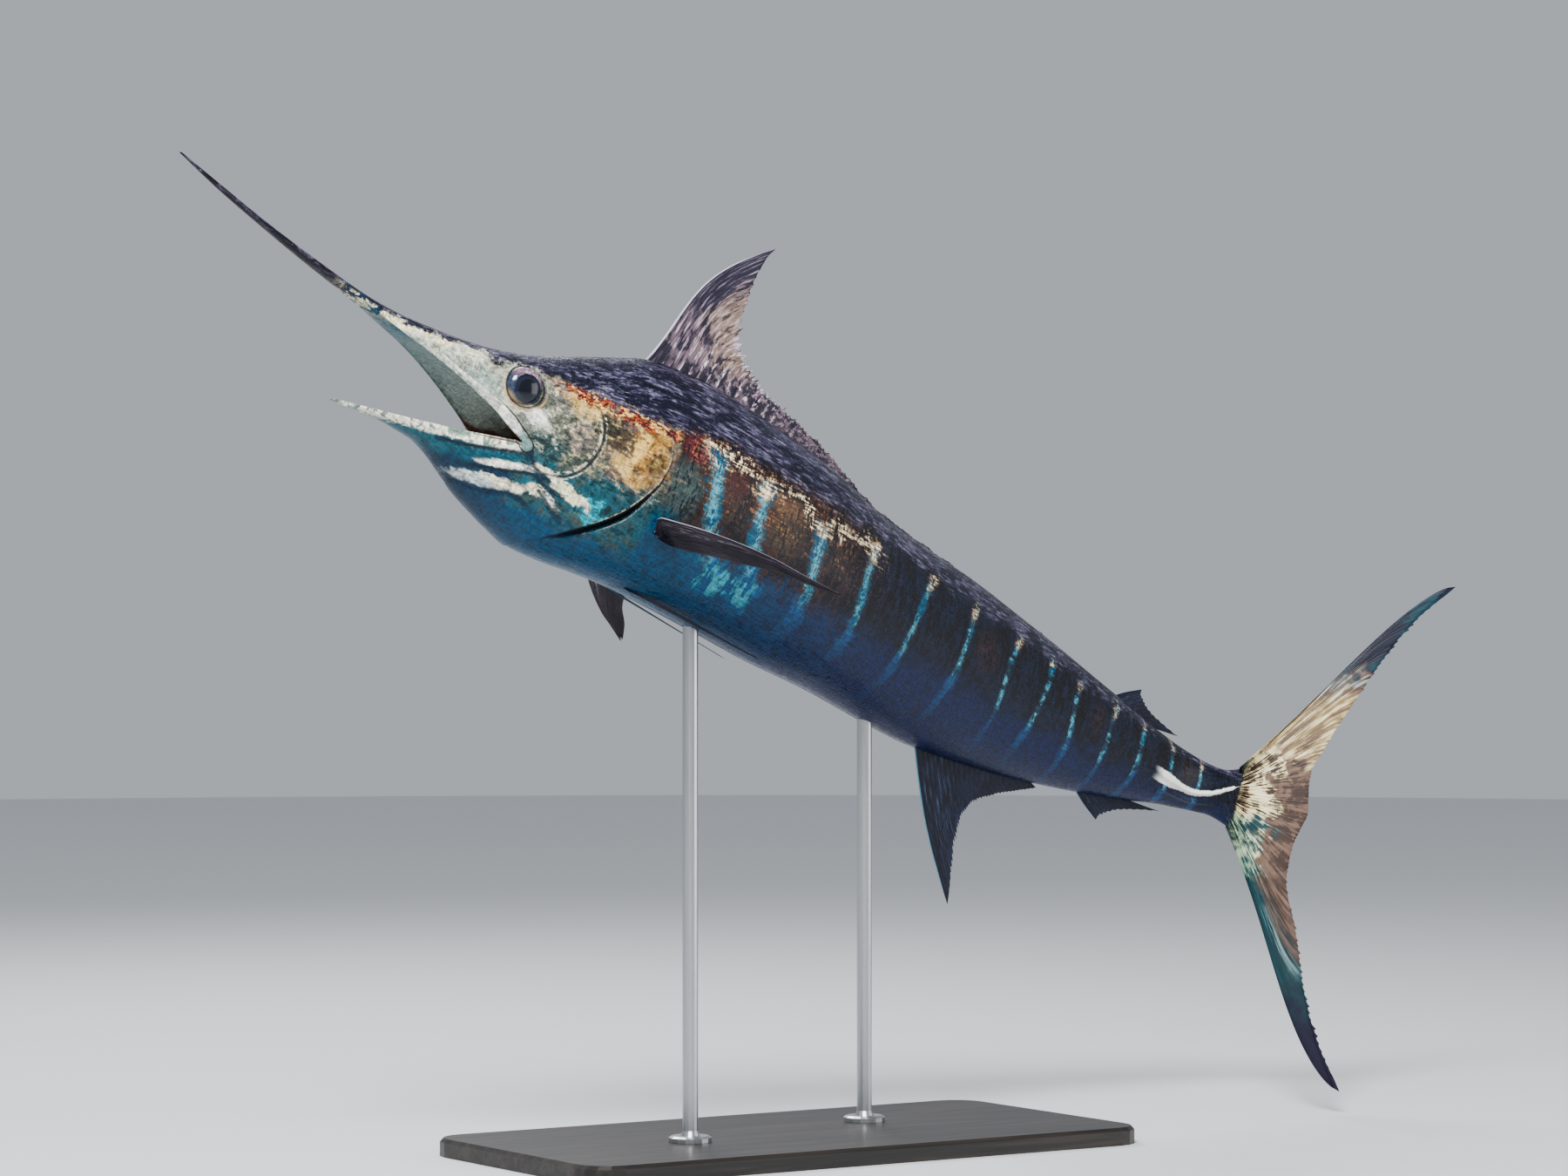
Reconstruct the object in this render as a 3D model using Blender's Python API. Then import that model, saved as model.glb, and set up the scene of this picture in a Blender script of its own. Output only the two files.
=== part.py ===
"""A life-size blue marlin that lunges upward with its mouth open, on two rods and a flat base.

Metres, +Z up, head towards -X, the fish's left side towards -Y. The origin is the middle of the base's underside.
Along the body, s is the distance behind the closed lower jaw's tip and z the height over the body's axis. Both are
shares of LENGTH, as are half-widths and fin sizes, because that is how a fish is measured.
"""
import math

import bmesh
import bpy
import numpy as np
from mathutils import Vector
from mathutils.bvhtree import BVHTree

# Driving dimensions
LENGTH = 2.20                # lower jaw tip to fork of tail
GAP = 0.0003                 # clear space between neighbouring pieces
PITCH = 23.1                 # nose-up angle of the trunk, degrees
FLOOR_CLEARANCE = 0.040      # lowest point of the tail over the floor
BASE_SIZE = (1.10, 0.54, 0.030)
BASE_CORNER = 0.060
BASE_BEVEL = 0.006
ROD_RADIUS = 0.013
ROD_SIDES = 16
ROD_STATIONS = {"stand_rod_front": 0.352, "stand_rod_rear": 0.560}
FLANGE_RADIUS = 0.036
FLANGE_HEIGHT = 0.010
BALANCE_STATION = 0.430      # stands over the middle of the base
BALANCE_SIDE = 0.006         # shift of the whole fish towards its left

# The bent body: angle of the axis to the fish's left, and how far it dips, by station
BEND_STATIONS = [-0.25, 0.02, 0.26, 0.50, 0.72, 0.88, 0.97, 1.20]
TURN_DEGREES = [3.5, 3.5, 0.0, -15.5, -8.6, -1.7, 38.3, 38.3]
DIP_DEGREES = [7.0, 7.0, 0.0, 0.0, -1.4, -3.6, -4.8, -4.8]

# Named stations
BILL_TIP = -0.169
BILL_END = 0.030
JAW_TIP = 0.0165
JAW_END = 0.140
MOUTH_CORNER = 0.147
MOUTH_BACK = 0.175
HEAD_END = 0.2585
FRONT_END = 0.470
MIDDLE_END = 0.660
REAR_END = 0.830
STALK_END = 0.958
CLEAR_STATIONS = (0.20, 0.70)        # the body that fins and rods keep clear of
JAW_SLOPE = 0.289            # of the dropped lower jaw's upper edge
JAW_ROUND = 0.060            # behind here the jaw's section turns in above its widest level
CORNER_Z = -0.0235

UPPER_SIDES = 8              # faces from the lip or side line up to the back, each side
LOWER_SIDES = 7
MOUTH_SIDES = 4


def smooth(knots, values):
    """Curve through the values that never swings past them (monotone cubic)."""
    x, y = np.array(knots, float), np.array(values, float)
    h, d = np.diff(x), np.diff(y) / np.diff(x)
    m = np.zeros(len(x))
    m[0], m[-1] = d[0], d[-1]
    for i in range(1, len(x) - 1):
        if d[i - 1] * d[i] > 0:
            a, b = 2 * h[i] + h[i - 1], h[i] + 2 * h[i - 1]
            m[i] = (a + b) / (a / d[i - 1] + b / d[i])

    def curve(at):
        at = min(max(at, x[0]), x[-1])
        i = min(int(np.searchsorted(x, at, side="right")) - 1, len(x) - 2)
        t = (at - x[i]) / h[i]
        return float((1 + 2 * t) * (1 - t) ** 2 * y[i] + t * (1 - t) ** 2 * h[i] * m[i]
                     + t * t * (3 - 2 * t) * y[i + 1] - t * t * (1 - t) * h[i] * m[i + 1])
    return curve


def ease(x, low, high):
    """0 below low, 1 above high, smooth between."""
    t = min(max((x - low) / (high - low), 0.0), 1.0)
    return t * t * (3 - 2 * t)


# Profile of the trunk and the upper jaw: back line, widest level, half-width
BACK = smooth([-0.169, -0.13, -0.09, -0.048, 0.0, 0.03, 0.057, 0.094, 0.137, 0.164, 0.207, 0.233, 0.28,
               0.40, 0.50, 0.60, 0.70, 0.80, 0.90, 0.94, 0.962],
              [0.0302, 0.0260, 0.0218, 0.0190, 0.0172, 0.019, 0.0235, 0.031, 0.0445, 0.057, 0.076, 0.086,
               0.0915, 0.084, 0.0715, 0.070, 0.0615, 0.046, 0.026, 0.0205, 0.0275])
MIDDLE = smooth([-0.169, -0.13, -0.09, -0.048, 0.0, 0.03, 0.06, 0.10, 0.15, 0.20, 0.30, 1.0],
                [0.0295, 0.0238, 0.0193, 0.0158, 0.0125, 0.011, 0.009, 0.006, 0.003, 0.002, 0.0, 0.0])
BELLY = smooth([0.147, 0.165, 0.19, 0.21, 0.24, 0.28, 0.40, 0.50, 0.60, 0.70, 0.80, 0.86, 0.90, 0.935, 0.962],
               [-0.079, -0.0845, -0.0885, -0.0875, -0.084, -0.0815, -0.082, -0.0765, -0.074, -0.0625,
                -0.0445, -0.032, -0.0235, -0.0200, -0.0275])
WIDTH = smooth([-0.169, -0.13, -0.09, -0.048, 0.0, 0.03, 0.06, 0.10, 0.13, 0.155, 0.20, 0.25, 0.30, 0.40,
                0.50, 0.60, 0.70, 0.80, 0.88, 0.93, 0.962],
               [0.0006, 0.0022, 0.0036, 0.005, 0.0075, 0.0105, 0.016, 0.026, 0.0335, 0.039, 0.048, 0.0545,
                0.056, 0.056, 0.0525, 0.047, 0.039, 0.029, 0.019, 0.0125, 0.0075])
# The mouth: upper lip line, roof, the under-curve that sets the upper lip's width, and the dropped lower jaw
UPPER_LIP = smooth([-0.169, -0.13, -0.09, -0.048, 0.0, 0.03, 0.06, 0.09, 0.12, 0.147],
                   [0.0295, 0.0238, 0.0193, 0.0158, 0.0120, 0.0075, 0.0035, -0.003, -0.0125, CORNER_Z])
ROOF = smooth([-0.169, -0.13, -0.09, -0.048, 0.0, 0.03, 0.06, 0.09, 0.12, 0.147, 0.175],
              [-0.0006, -0.0018, -0.0024, -0.0033, -0.0035, -0.002, 0.002, 0.006, 0.010, 0.012, 0.001])
UNDER = smooth([-0.169, 0.0, 0.03, 0.06, 0.10, 0.147], [0.002, 0.010, 0.014, 0.022, 0.045, 0.0820])
SIDE_LINE = smooth([0.147, 0.20, 0.30, 0.60, 1.0], [CORNER_Z, -0.0225, -0.020, -0.008, 0.0])
JAW_BOTTOM = smooth([0.0165, 0.03, 0.044, 0.065, 0.084, 0.097, 0.116, 0.131, 0.147],
                    [-0.0628, -0.0606, -0.0578, -0.0548, -0.0545, -0.0575, -0.066, -0.0735, -0.079])
JAW_WIDTH = smooth([0.0165, 0.03, 0.05, 0.08, 0.11, 0.147], [0.0008, 0.0035, 0.0075, 0.0145, 0.0235, 0.0364])
FLOOR = smooth([0.0165, 0.03, 0.065, 0.10, 0.147, 0.175], [0.0003, 0.0009, 0.003, 0.008, 0.016, 0.001])
POCKET_WIDTH = smooth([0.147, 0.155, 0.175], [0.0364, 0.0300, 0.0180])


class Spine:
    """The bent axis of the body in the world, with the directions to the fish's left and to its back."""

    def __init__(self):
        turn, dip = smooth(BEND_STATIONS, TURN_DEGREES), smooth(BEND_STATIONS, DIP_DEGREES)
        self.at = np.linspace(BEND_STATIONS[0], BEND_STATIONS[-1], 1451)
        self.turn = np.radians([turn(s) for s in self.at])
        self.dip = np.radians([dip(s) for s in self.at])
        run = np.stack([np.cos(self.turn) * np.cos(self.dip), np.sin(self.turn) * np.cos(self.dip),
                        -np.sin(self.dip)], 1)
        step = self.at[1] - self.at[0]
        line = np.concatenate([[np.zeros(3)], np.cumsum((run[1:] + run[:-1]) / 2 * step, 0)])
        self.line = line - [np.interp(BALANCE_STATION, self.at, line[:, i]) for i in range(3)]
        self.lift = 0.0

    @staticmethod
    def world(vector):
        """Fish directions (back to the tail, left, up) as world directions, pitched nose up."""
        c, s = math.cos(math.radians(PITCH)), math.sin(math.radians(PITCH))
        x, y, z = vector
        return Vector((x * c + z * s, -y, -x * s + z * c))

    def frame(self, s):
        """Point on the axis, and the unit directions to the left and to the back, in the world."""
        t, d = np.interp(s, self.at, self.turn), np.interp(s, self.at, self.dip)
        centre = [np.interp(s, self.at, self.line[:, i]) for i in range(3)]
        left = (-math.sin(t), math.cos(t), 0.0)
        up = (math.cos(t) * math.sin(d), math.sin(t) * math.sin(d), math.cos(d))
        origin = Vector((0.0, -BALANCE_SIDE * LENGTH, self.lift))
        return origin + self.world(centre) * LENGTH, self.world(left), self.world(up)

    def place(self, s, y, z):
        """World point of a place on the fish, all in shares of its length."""
        centre, left, up = self.frame(s)
        return centre + left * (y * LENGTH) + up * (z * LENGTH)


SPINE = Spine()


# Outlines across the body. Each runs from the left lip or side line to the right one, as (y, z) pairs.

def underside(s):
    """Depth below the widest level that the section's lower arc is drawn with."""
    return UNDER(s) if s < MOUTH_CORNER else MIDDLE(s) - BELLY(s)


def side_edge(s):
    """Left end of the upper outline: the upper lip, or behind the mouth the side line."""
    z = min(UPPER_LIP(s), MIDDLE(s)) if s < MOUTH_CORNER else SIDE_LINE(s)
    return WIDTH(s) * math.sqrt(max(0.0, 1 - ((z - MIDDLE(s)) / underside(s)) ** 2)), z


def upper_outline(s, grow=0.0):
    edge = side_edge(s)
    low = -math.asin(min(1.0, (MIDDLE(s) - edge[1]) / underside(s)))
    points = []
    for j in range(-UPPER_SIDES, UPPER_SIDES + 1):
        angle = math.pi / 2 - abs(j) / UPPER_SIDES * (math.pi / 2 - low)
        reach = BACK(s) - MIDDLE(s) if angle > 0 else underside(s)
        points.append((-math.copysign(1, j) * (WIDTH(s) + grow) * math.cos(angle) if j else 0.0,
                       MIDDLE(s) + (reach + grow) * math.sin(angle)))
    return points


def lower_outline(s, grow=0.0):
    """The dropped jaw in front of the mouth's corner, the throat and belly behind it."""
    if s < MOUTH_CORNER:
        start = math.asin((MIDDLE(MOUTH_CORNER) - CORNER_Z) / underside(MOUTH_CORNER))
        start *= ease(s, JAW_ROUND, MOUTH_CORNER)
        lip = CORNER_Z - JAW_SLOPE * (MOUTH_CORNER - s)
        depth = (lip - JAW_BOTTOM(s)) / (1 - math.sin(start))
        middle, half = lip + depth * math.sin(start), JAW_WIDTH(s) / math.cos(start)
    else:
        middle, depth, half = MIDDLE(s), underside(s), WIDTH(s)
        start = math.asin(min(1.0, (middle - SIDE_LINE(s)) / depth))
    points = []
    for j in range(-LOWER_SIDES, LOWER_SIDES + 1):
        angle = math.pi / 2 - abs(j) / LOWER_SIDES * (math.pi / 2 - start)
        points.append((-math.copysign(1, j) * (half + grow) * math.cos(angle) if j else 0.0,
                       middle - (depth + grow) * math.sin(angle)))
    return points


def mouth_outline(s, bulge, lip):
    """Roof (bulge over 0) or floor of the mouth between its two lips, or the bill's underside."""
    angles = [math.pi / 2 * j / MOUTH_SIDES for j in range(-MOUTH_SIDES, MOUTH_SIDES + 1)]
    return [(-lip[0] * math.sin(a), lip[1] + bulge * math.cos(a)) for a in angles]


def roof_outline(s):
    if s <= MOUTH_CORNER:
        return mouth_outline(s, ROOF(s), side_edge(s))
    return mouth_outline(s, ROOF(s), (POCKET_WIDTH(s), SIDE_LINE(s)))


def floor_outline(s):
    if s <= MOUTH_CORNER:
        return mouth_outline(s, -FLOOR(s), lower_outline(s)[0])
    return mouth_outline(s, -FLOOR(s), (POCKET_WIDTH(s), SIDE_LINE(s)))


class Shell:
    """A closed surface put together from strips whose common points are shared."""

    def __init__(self):
        self.points, self.index, self.faces = [], {}, []

    def point(self, place):
        key = tuple(round(c * 1e7) for c in place)
        if key not in self.index:
            self.index[key] = len(self.points)
            self.points.append(tuple(place))
        return self.index[key]

    def face(self, *places):
        corners = [self.point(p) for p in places]
        corners = [c for i, c in enumerate(corners) if c != corners[i - 1]]
        if len(corners) > 2:
            self.faces.append(corners)

    def strip(self, row, after):
        """Triangles between two rows of world points."""
        for i in range(len(row) - 1):
            self.face(row[i], row[i + 1], after[i + 1])
            self.face(row[i], after[i + 1], after[i])

    def mesh(self, name):
        mesh = bpy.data.meshes.new(name)
        mesh.from_pydata(self.points, [], self.faces)
        work = bmesh.new()
        work.from_mesh(mesh)
        bmesh.ops.recalc_face_normals(work, faces=work.faces)
        bmesh.ops.triangulate(work, faces=work.faces)
        if work.calc_volume(signed=True) < 0:
            bmesh.ops.reverse_faces(work, faces=work.faces)
        work.to_mesh(mesh)
        work.free()
        return mesh


def placed(s, outline):
    return [SPINE.place(s, y, z) for y, z in outline]


def body_length(name, outlines, stations):
    """Closed length of the body. outlines(s) gives the two outlines that ring it at a station."""
    shell = Shell()
    rings = [[placed(s, line) for line in outlines(s)] for s in stations]
    for ring, after in zip(rings, rings[1:]):
        for line, line_after in zip(ring, after):
            shell.strip(line, line_after)
    for top, low in (rings[0], rings[-1]):
        shell.face(*top, *reversed(low[1:-1]))
    return shell.mesh(name)


def stations(first, last, count):
    return list(np.linspace(first, last, count + 1))


LENGTHS = {
    "trunk_front": stations(HEAD_END + GAP / LENGTH, FRONT_END, 11),
    "trunk_middle": stations(FRONT_END + GAP / LENGTH, MIDDLE_END, 8),
    "trunk_rear": stations(MIDDLE_END + GAP / LENGTH, REAR_END, 7),
    "tail_stalk": stations(REAR_END + GAP / LENGTH, STALK_END, 11),
}
BILL_ROWS = [BILL_TIP, -0.150, -0.125, -0.095, -0.06, -0.025, 0.005, BILL_END]
JAW_ROWS = [JAW_TIP, 0.025, 0.04, 0.06, 0.08, 0.097, 0.112, 0.126, JAW_END]
FACE_REAR = [MOUTH_BACK, 0.187, 0.199, 0.211, 0.223, 0.235, 0.247, HEAD_END]
RIDGE = FACE_REAR + [s for row in LENGTHS.values() for s in row]


def ground(s, below=False):
    """Height of the faceted back, or depth of the belly, on the midline, and never inside the smooth one."""
    curve = BELLY if below else BACK
    flat = float(np.interp(s, RIDGE, [curve(r) for r in RIDGE]))
    return min(curve(s), flat) if below else max(curve(s), flat)


def bill_rings(s):
    return upper_outline(s), roof_outline(s)


def jaw_rings(s):
    return lower_outline(s), floor_outline(s)


def trunk_rings(s):
    return upper_outline(s), lower_outline(s)


def grown_rings(s):
    """The trunk's rings, wider by the gap, for what stands on the body."""
    grow = GAP / LENGTH
    return upper_outline(s, grow), lower_outline(s, grow)


def clear_body():
    return body_length("clear", grown_rings, stations(*CLEAR_STATIONS, 24))


def head_mesh():
    """Upper jaw, face and throat as one closed body with the open mouth running back into it."""
    start = BILL_END + GAP / LENGTH
    jaw_start = JAW_END + GAP / LENGTH
    front = [start, 0.05, 0.07, 0.088, 0.104, 0.118, 0.130, jaw_start]
    corner = [jaw_start, MOUTH_CORNER, 0.155, 0.165, MOUTH_BACK]
    shell = Shell()
    for s, after in zip(front, front[1:]):
        shell.strip(placed(s, upper_outline(s)), placed(after, upper_outline(after)))
        shell.strip(placed(s, roof_outline(s)), placed(after, roof_outline(after)))
    for s, after in zip(corner, corner[1:]):
        for outline in (upper_outline, roof_outline, lower_outline, floor_outline):
            shell.strip(placed(s, outline(s)), placed(after, outline(after)))
    for s, after in zip(FACE_REAR, FACE_REAR[1:]):
        for outline in (upper_outline, lower_outline):
            shell.strip(placed(s, outline(s)), placed(after, outline(after)))
    shell.face(*placed(start, upper_outline(start)), *reversed(placed(start, roof_outline(start)[1:-1])))
    shell.face(*placed(jaw_start, lower_outline(jaw_start)),
               *reversed(placed(jaw_start, floor_outline(jaw_start)[1:-1])))
    shell.face(*placed(MOUTH_BACK, roof_outline(MOUTH_BACK)),
               *reversed(placed(MOUTH_BACK, floor_outline(MOUTH_BACK)[1:-1])))
    shell.face(*placed(HEAD_END, upper_outline(HEAD_END)),
               *reversed(placed(HEAD_END, lower_outline(HEAD_END)[1:-1])))
    return shell.mesh("head")


# Pieces set on the head

EYE_PLACE = (0.134, 0.0285, 0.014)
EYE_RADII = (0.0152, 0.0085, 0.0152)
NOSTRILS = [((0.1045, 0.0195, 0.0225), 0.0016), ((0.1110, 0.0215, 0.0235), 0.0020)]
GILL_CENTRE = (0.224, -0.012)
GILL_EDGE = [(0.200, 0.000), (0.196, 0.016), (0.205, 0.029), (0.228, 0.0325), (0.248, 0.030), (0.2555, 0.015),
             (0.2545, -0.002), (0.247, -0.022), (0.234, -0.041), (0.217, -0.057), (0.203, -0.066),
             (0.193, -0.053), (0.191, -0.036), (0.197, -0.018)]
GILL_SIDES = 28
GILL_ROWS = (0.0, 0.45, 0.8, 1.0)    # rings of the plate, as shares of its outline
GILL_DEPTH = 0.006
GILL_PROUD = 0.0011                  # how far its rear edge stands out
PROUD_BEARING = (-0.4, 0.5)          # rearward part of the bearing where that begins and is full
SLIT_WIDTH = 0.0050
SLIT_REAR = (-0.35, 0.30)            # rearward part of the bearing where the slit begins and is full
SLIT_LOW = (-0.25, 0.35)             # and its downward part
RECESS_REACH = 0.02                  # how far the recess reaches out of the skin
MAXILLA = (0.085, 0.157)             # stations of its ends
MAXILLA_HANG = -0.0275               # height of its rounded lower end
MAXILLA_TURN = 0.125                 # where it leaves the lip and turns down
MAXILLA_STEPS = 8
MAXILLA_HALF = (0.0012, 0.0052)      # half-height of its thin front and of its plate
MAXILLA_SECTION = ((0.0010, 0.0), (0.0006, 0.7), (-0.004, 1.0), (-0.004, -1.0), (0.0006, -0.7), (0.0010, 0.0))


def ellipsoid(name, place, radii, grow, turns=16, rings=10):
    """Round body on the fish, its radii along the body, across and up."""
    centre, left, up = SPINE.frame(place[0])
    back = left.cross(up)
    centre = SPINE.place(*place)
    axes = [axis * (r * LENGTH + grow) for axis, r in zip((back, left, up), radii)]
    shell = Shell()
    rows = []
    for i in range(rings + 1):
        low = math.pi * i / rings
        rows.append([centre + axes[1] * math.cos(low) + (axes[0] * math.cos(2 * math.pi * k / turns)
                     + axes[2] * math.sin(2 * math.pi * k / turns)) * math.sin(low) for k in range(turns)])
        rows[-1].append(rows[-1][0])
    rows[0], rows[-1] = [centre + axes[1]] * (turns + 1), [centre - axes[1]] * (turns + 1)
    for row, after in zip(rows, rows[1:]):
        shell.strip(row, after)
    return shell.mesh(name)


def flank(s, z):
    """Half-width of the body at a height."""
    reach = BACK(s) - MIDDLE(s) if z > MIDDLE(s) else underside(s)
    return WIDTH(s) * math.sqrt(max(0.0, 1 - ((z - MIDDLE(s)) / reach) ** 2))


def loop_points(corners, count):
    """Even points on a closed smooth curve through the corners (Catmull-Rom)."""
    points = []
    for i in range(count):
        at = i * len(corners) / count
        k, t = int(at), at - int(at)
        p = [np.array(corners[(k + j) % len(corners)]) for j in (-1, 0, 1, 2)]
        points.append(0.5 * (2 * p[1] + (p[2] - p[0]) * t + (2 * p[0] - 5 * p[1] + 4 * p[2] - p[3]) * t * t
                             + (3 * p[1] - p[0] - 3 * p[2] + p[3]) * t ** 3))
    return points


def gill_mesh(name, side, recess):
    """The gill cover, or the recess that it lies in, which is wider low at the rear, where the slit opens."""
    edge = loop_points(GILL_EDGE, GILL_SIDES)
    centre = np.array(GILL_CENTRE)
    gap = GAP / LENGTH
    outer, inner = [], []
    for share in GILL_ROWS:
        outer_row, inner_row = [], []
        for p in edge + edge[:1]:
            away = (p - centre) / np.linalg.norm(p - centre)
            slit = SLIT_WIDTH * ease(away[0], *SLIT_REAR) * ease(-away[1], *SLIT_LOW)
            s, z = centre + (p - centre) * share + away * (gap + slit if recess and share == 1.0 else 0.0)
            proud = ease(away[0], *PROUD_BEARING) * GILL_PROUD * ease(share, 0.2, 1.0)
            y = flank(s, z)
            outer_row.append(SPINE.place(s, side * (y + (RECESS_REACH if recess else proud)), z))
            inner_row.append(SPINE.place(s, side * (y - GILL_DEPTH - (gap if recess else 0.0)), z))
        outer.append(outer_row)
        inner.append(inner_row)
    shell = Shell()
    for rows in (outer, inner):
        for row, after in zip(rows, rows[1:]):
            shell.strip(row, after)
    shell.strip(outer[-1], inner[-1])
    return shell.mesh(name)


def ridge_mesh(name, rows):
    """Closed bar from rings of points."""
    shell = Shell()
    for row, after in zip(rows, rows[1:]):
        shell.strip(row, after)
    shell.face(*rows[0][:-1])
    shell.face(*rows[-1][:-1])
    return shell.mesh(name)


def maxilla_mesh(name, side):
    """The strip of bone along the upper lip that ends rounded, hanging past the mouth's corner."""
    (start, end), (thin, plate), rows = MAXILLA, MAXILLA_HALF, []
    for i in range(MAXILLA_STEPS + 1):
        t = i / MAXILLA_STEPS
        s = start + (end - start) * t
        z = UPPER_LIP(s) + 0.0035 if s < MOUTH_CORNER else CORNER_Z + 0.0015
        z += (MAXILLA_HANG - CORNER_Z) * ease(s, MAXILLA_TURN, end)
        half = thin + (plate - thin) * ease(s, 0.095, 0.150) * math.sqrt(max(0.03, 1 - ease(t, 0.86, 1.0)))
        y = flank(s, z)
        proud = 0.4 + 0.6 * ease(t, 0.0, 0.2)
        rows.append([SPINE.place(s, side * (y + dy * proud), z + dz * half) for dy, dz in MAXILLA_SECTION])
    return ridge_mesh(name, rows)


# Fins: two like faces a little apart, with each ray a ridge in them

class Fin:
    """Grid of rays and webs. middle(k, r) gives a point and the unit normal there, k across, r from root to edge."""

    def __init__(self, rays, rows, middle, thickness, rest_on=None):
        self.rays, self.rows, self.middle, self.thickness, self.rest_on = rays, rows, middle, thickness, rest_on

    def mesh(self, name):
        columns = 2 * self.rays - 1
        faces = ([], [])
        for c in range(columns):
            k = c / (columns - 1)
            left, right = [], []
            for i in range(self.rows + 1):
                r = i / self.rows
                place, normal = self.middle(k, r, c % 2 == 0)
                half = normal * (self.thickness(k, r) * (1.0 if c % 2 == 0 else 0.62))
                sides = [place + half, place - half]
                if i == 0 and self.rest_on:
                    sides = [self.rest_on(p) for p in sides]
                left.append(sides[0])
                right.append(sides[1])
            faces[0].append(left)
            faces[1].append(right)
        shell = Shell()
        for grid in faces:
            for row, after in zip(grid, grid[1:]):
                shell.strip(row, after)
        shell.strip(faces[0][0], faces[1][0])
        shell.strip(faces[0][-1], faces[1][-1])
        for i in (0, self.rows):
            shell.strip([line[i] for line in faces[0]], [line[i] for line in faces[1]])
        return shell.mesh(name)


FRONT_SPINE = 1.2            # how much thicker the leading rays are
FRONT_SPREAD = 30            # how soon that fades towards the rear rays
WEB_SHIFT = 0.985            # rays of the paired fins end a little ahead of the webs behind them


def median_fin(base, edge, rays, rows, bow, root_half, edge_half, notch, swell=1.0, below=False):
    """Fin on the back or under the belly. base(k) is a station, edge(k) a station and height over the body."""
    sign = -1.0 if below else 1.0

    def middle(k, r, is_ray):
        edge_s, height = edge(k)
        if not is_ray:
            height *= 1 - notch * ease(r, 0.6, 1.0) * ease(k, 0.03, 0.25)
        s = base(k) + (edge_s - base(k)) * r - bow * (1 - k) ** 5 * math.sin(math.pi * r ** swell)
        foot, edge_z = ground(base(k), below), ground(edge_s, below) + sign * height
        z = foot + sign * GAP / LENGTH + (edge_z - foot) * r
        _, left, _ = SPINE.frame(s)
        return SPINE.place(s, 0.0, z), left

    def thickness(k, r):
        return (root_half + (edge_half - root_half) * r ** 0.7) * (1 + FRONT_SPINE * math.exp(-k * FRONT_SPREAD))

    return Fin(rays, rows, middle, thickness)


def fish_axes(s):
    """Unit directions to the tail, to the left and to the back at a station."""
    _, left, up = SPINE.frame(s)
    back = left.cross(up)
    return (back if back.dot(SPINE.frame(s + 0.01)[0] - SPINE.frame(s)[0]) > 0 else -back), left, up


def paired_fin(side, base, tip_step, chord, lead, turn, lean, rays, rows, hold, root_half, edge_half, rest_on):
    """Fin at the fish's side: its root on the skin, its rays running out to the tip.

    The chord points towards the tail, leans to the left by lean and dips by turn(r). hold is the share of the
    span along which the fin leaves its root's line.
    """
    axes = fish_axes(base[0])

    def world(step):
        return sum((axis * part for axis, part in zip(axes, step)), Vector())

    span = world(tip_step) * LENGTH
    out = span.normalized()
    root = SPINE.place(base[0], side * base[1], base[2])

    def chord_way(r):
        return world((1.0, lean, -turn(r))).normalized()

    def middle(k, r, is_ray):
        way = chord_way(r)
        across = (way - out * way.dot(out)).normalized()
        width = chord(r) * (k * WEB_SHIFT if is_ray else k)
        held = root + chord_way(0.0) * (chord(0.0) * k * LENGTH) + span * r
        free = root + span * r + across * ((lead(r) + width) * LENGTH)
        return held.lerp(free, ease(r, 0.0, hold)), out.cross(across).normalized() * side

    def thickness(k, r):
        edge = 0.35 + 0.65 * math.sin(math.pi * (0.12 + 0.76 * k))
        return edge_half + (root_half - edge_half) * (1 - r) ** 1.4 * edge

    return Fin(rays, rows, middle, thickness, lambda place: rest_on(place, out))


DORSAL_BASE = (0.2325, 0.735)
DORSAL_STEPS = [0, 0.04, 0.08, 0.12, 0.17, 0.22, 0.30, 0.40, 0.50, 0.60, 0.80, 1.0]
DORSAL_EDGE_S = smooth(DORSAL_STEPS, [0.3075, 0.3025, 0.3005, 0.3025, 0.311, 0.3255, 0.353, 0.393, 0.441, 0.493,
                                      0.607, 0.741])
DORSAL_EDGE_H = smooth(DORSAL_STEPS, [0.1215, 0.110, 0.090, 0.067, 0.043, 0.0315, 0.022, 0.0165, 0.011, 0.006,
                                      0.003, 0.0022])
DORSAL = {"rays": 33, "rows": 6, "bow": 0.0175, "root_half": 0.0024, "edge_half": 0.0005, "notch": 0.22, "swell": 1.5}
ANAL_BASE = (0.622, 0.752)
ANAL_STEPS = [0, 0.12, 0.25, 0.38, 0.5, 0.65, 0.8, 1.0]
ANAL_EDGE_S = smooth(ANAL_STEPS, [0.711, 0.7050, 0.6990, 0.697, 0.701, 0.714, 0.734, 0.764])
ANAL_EDGE_H = smooth(ANAL_STEPS, [0.112, 0.087, 0.062, 0.043, 0.031, 0.021, 0.013, 0.0035])
ANAL = {"rays": 15, "rows": 5, "bow": 0.006, "root_half": 0.0024, "edge_half": 0.0005, "notch": 0.12, "below": True}
SMALL = {"rays": 7, "rows": 2, "bow": 0.002, "root_half": 0.0018, "edge_half": 0.0005, "notch": 0.10}
SMALL_STEPS = [0, 0.3, 0.6, 1.0]
SMALL_DORSAL_EDGE_H = smooth(SMALL_STEPS, [0.0205, 0.0155, 0.0100, 0.0075])
SMALL_ANAL_EDGE_H = smooth(SMALL_STEPS, [0.0200, 0.0140, 0.0085, 0.0060])


def dorsal_fin():
    length = DORSAL_BASE[1] - DORSAL_BASE[0]
    return median_fin(lambda k: DORSAL_BASE[0] + length * (0.6 * k + 0.4 * k * k),
                      lambda k: (DORSAL_EDGE_S(k), DORSAL_EDGE_H(k)), **DORSAL)


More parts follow.
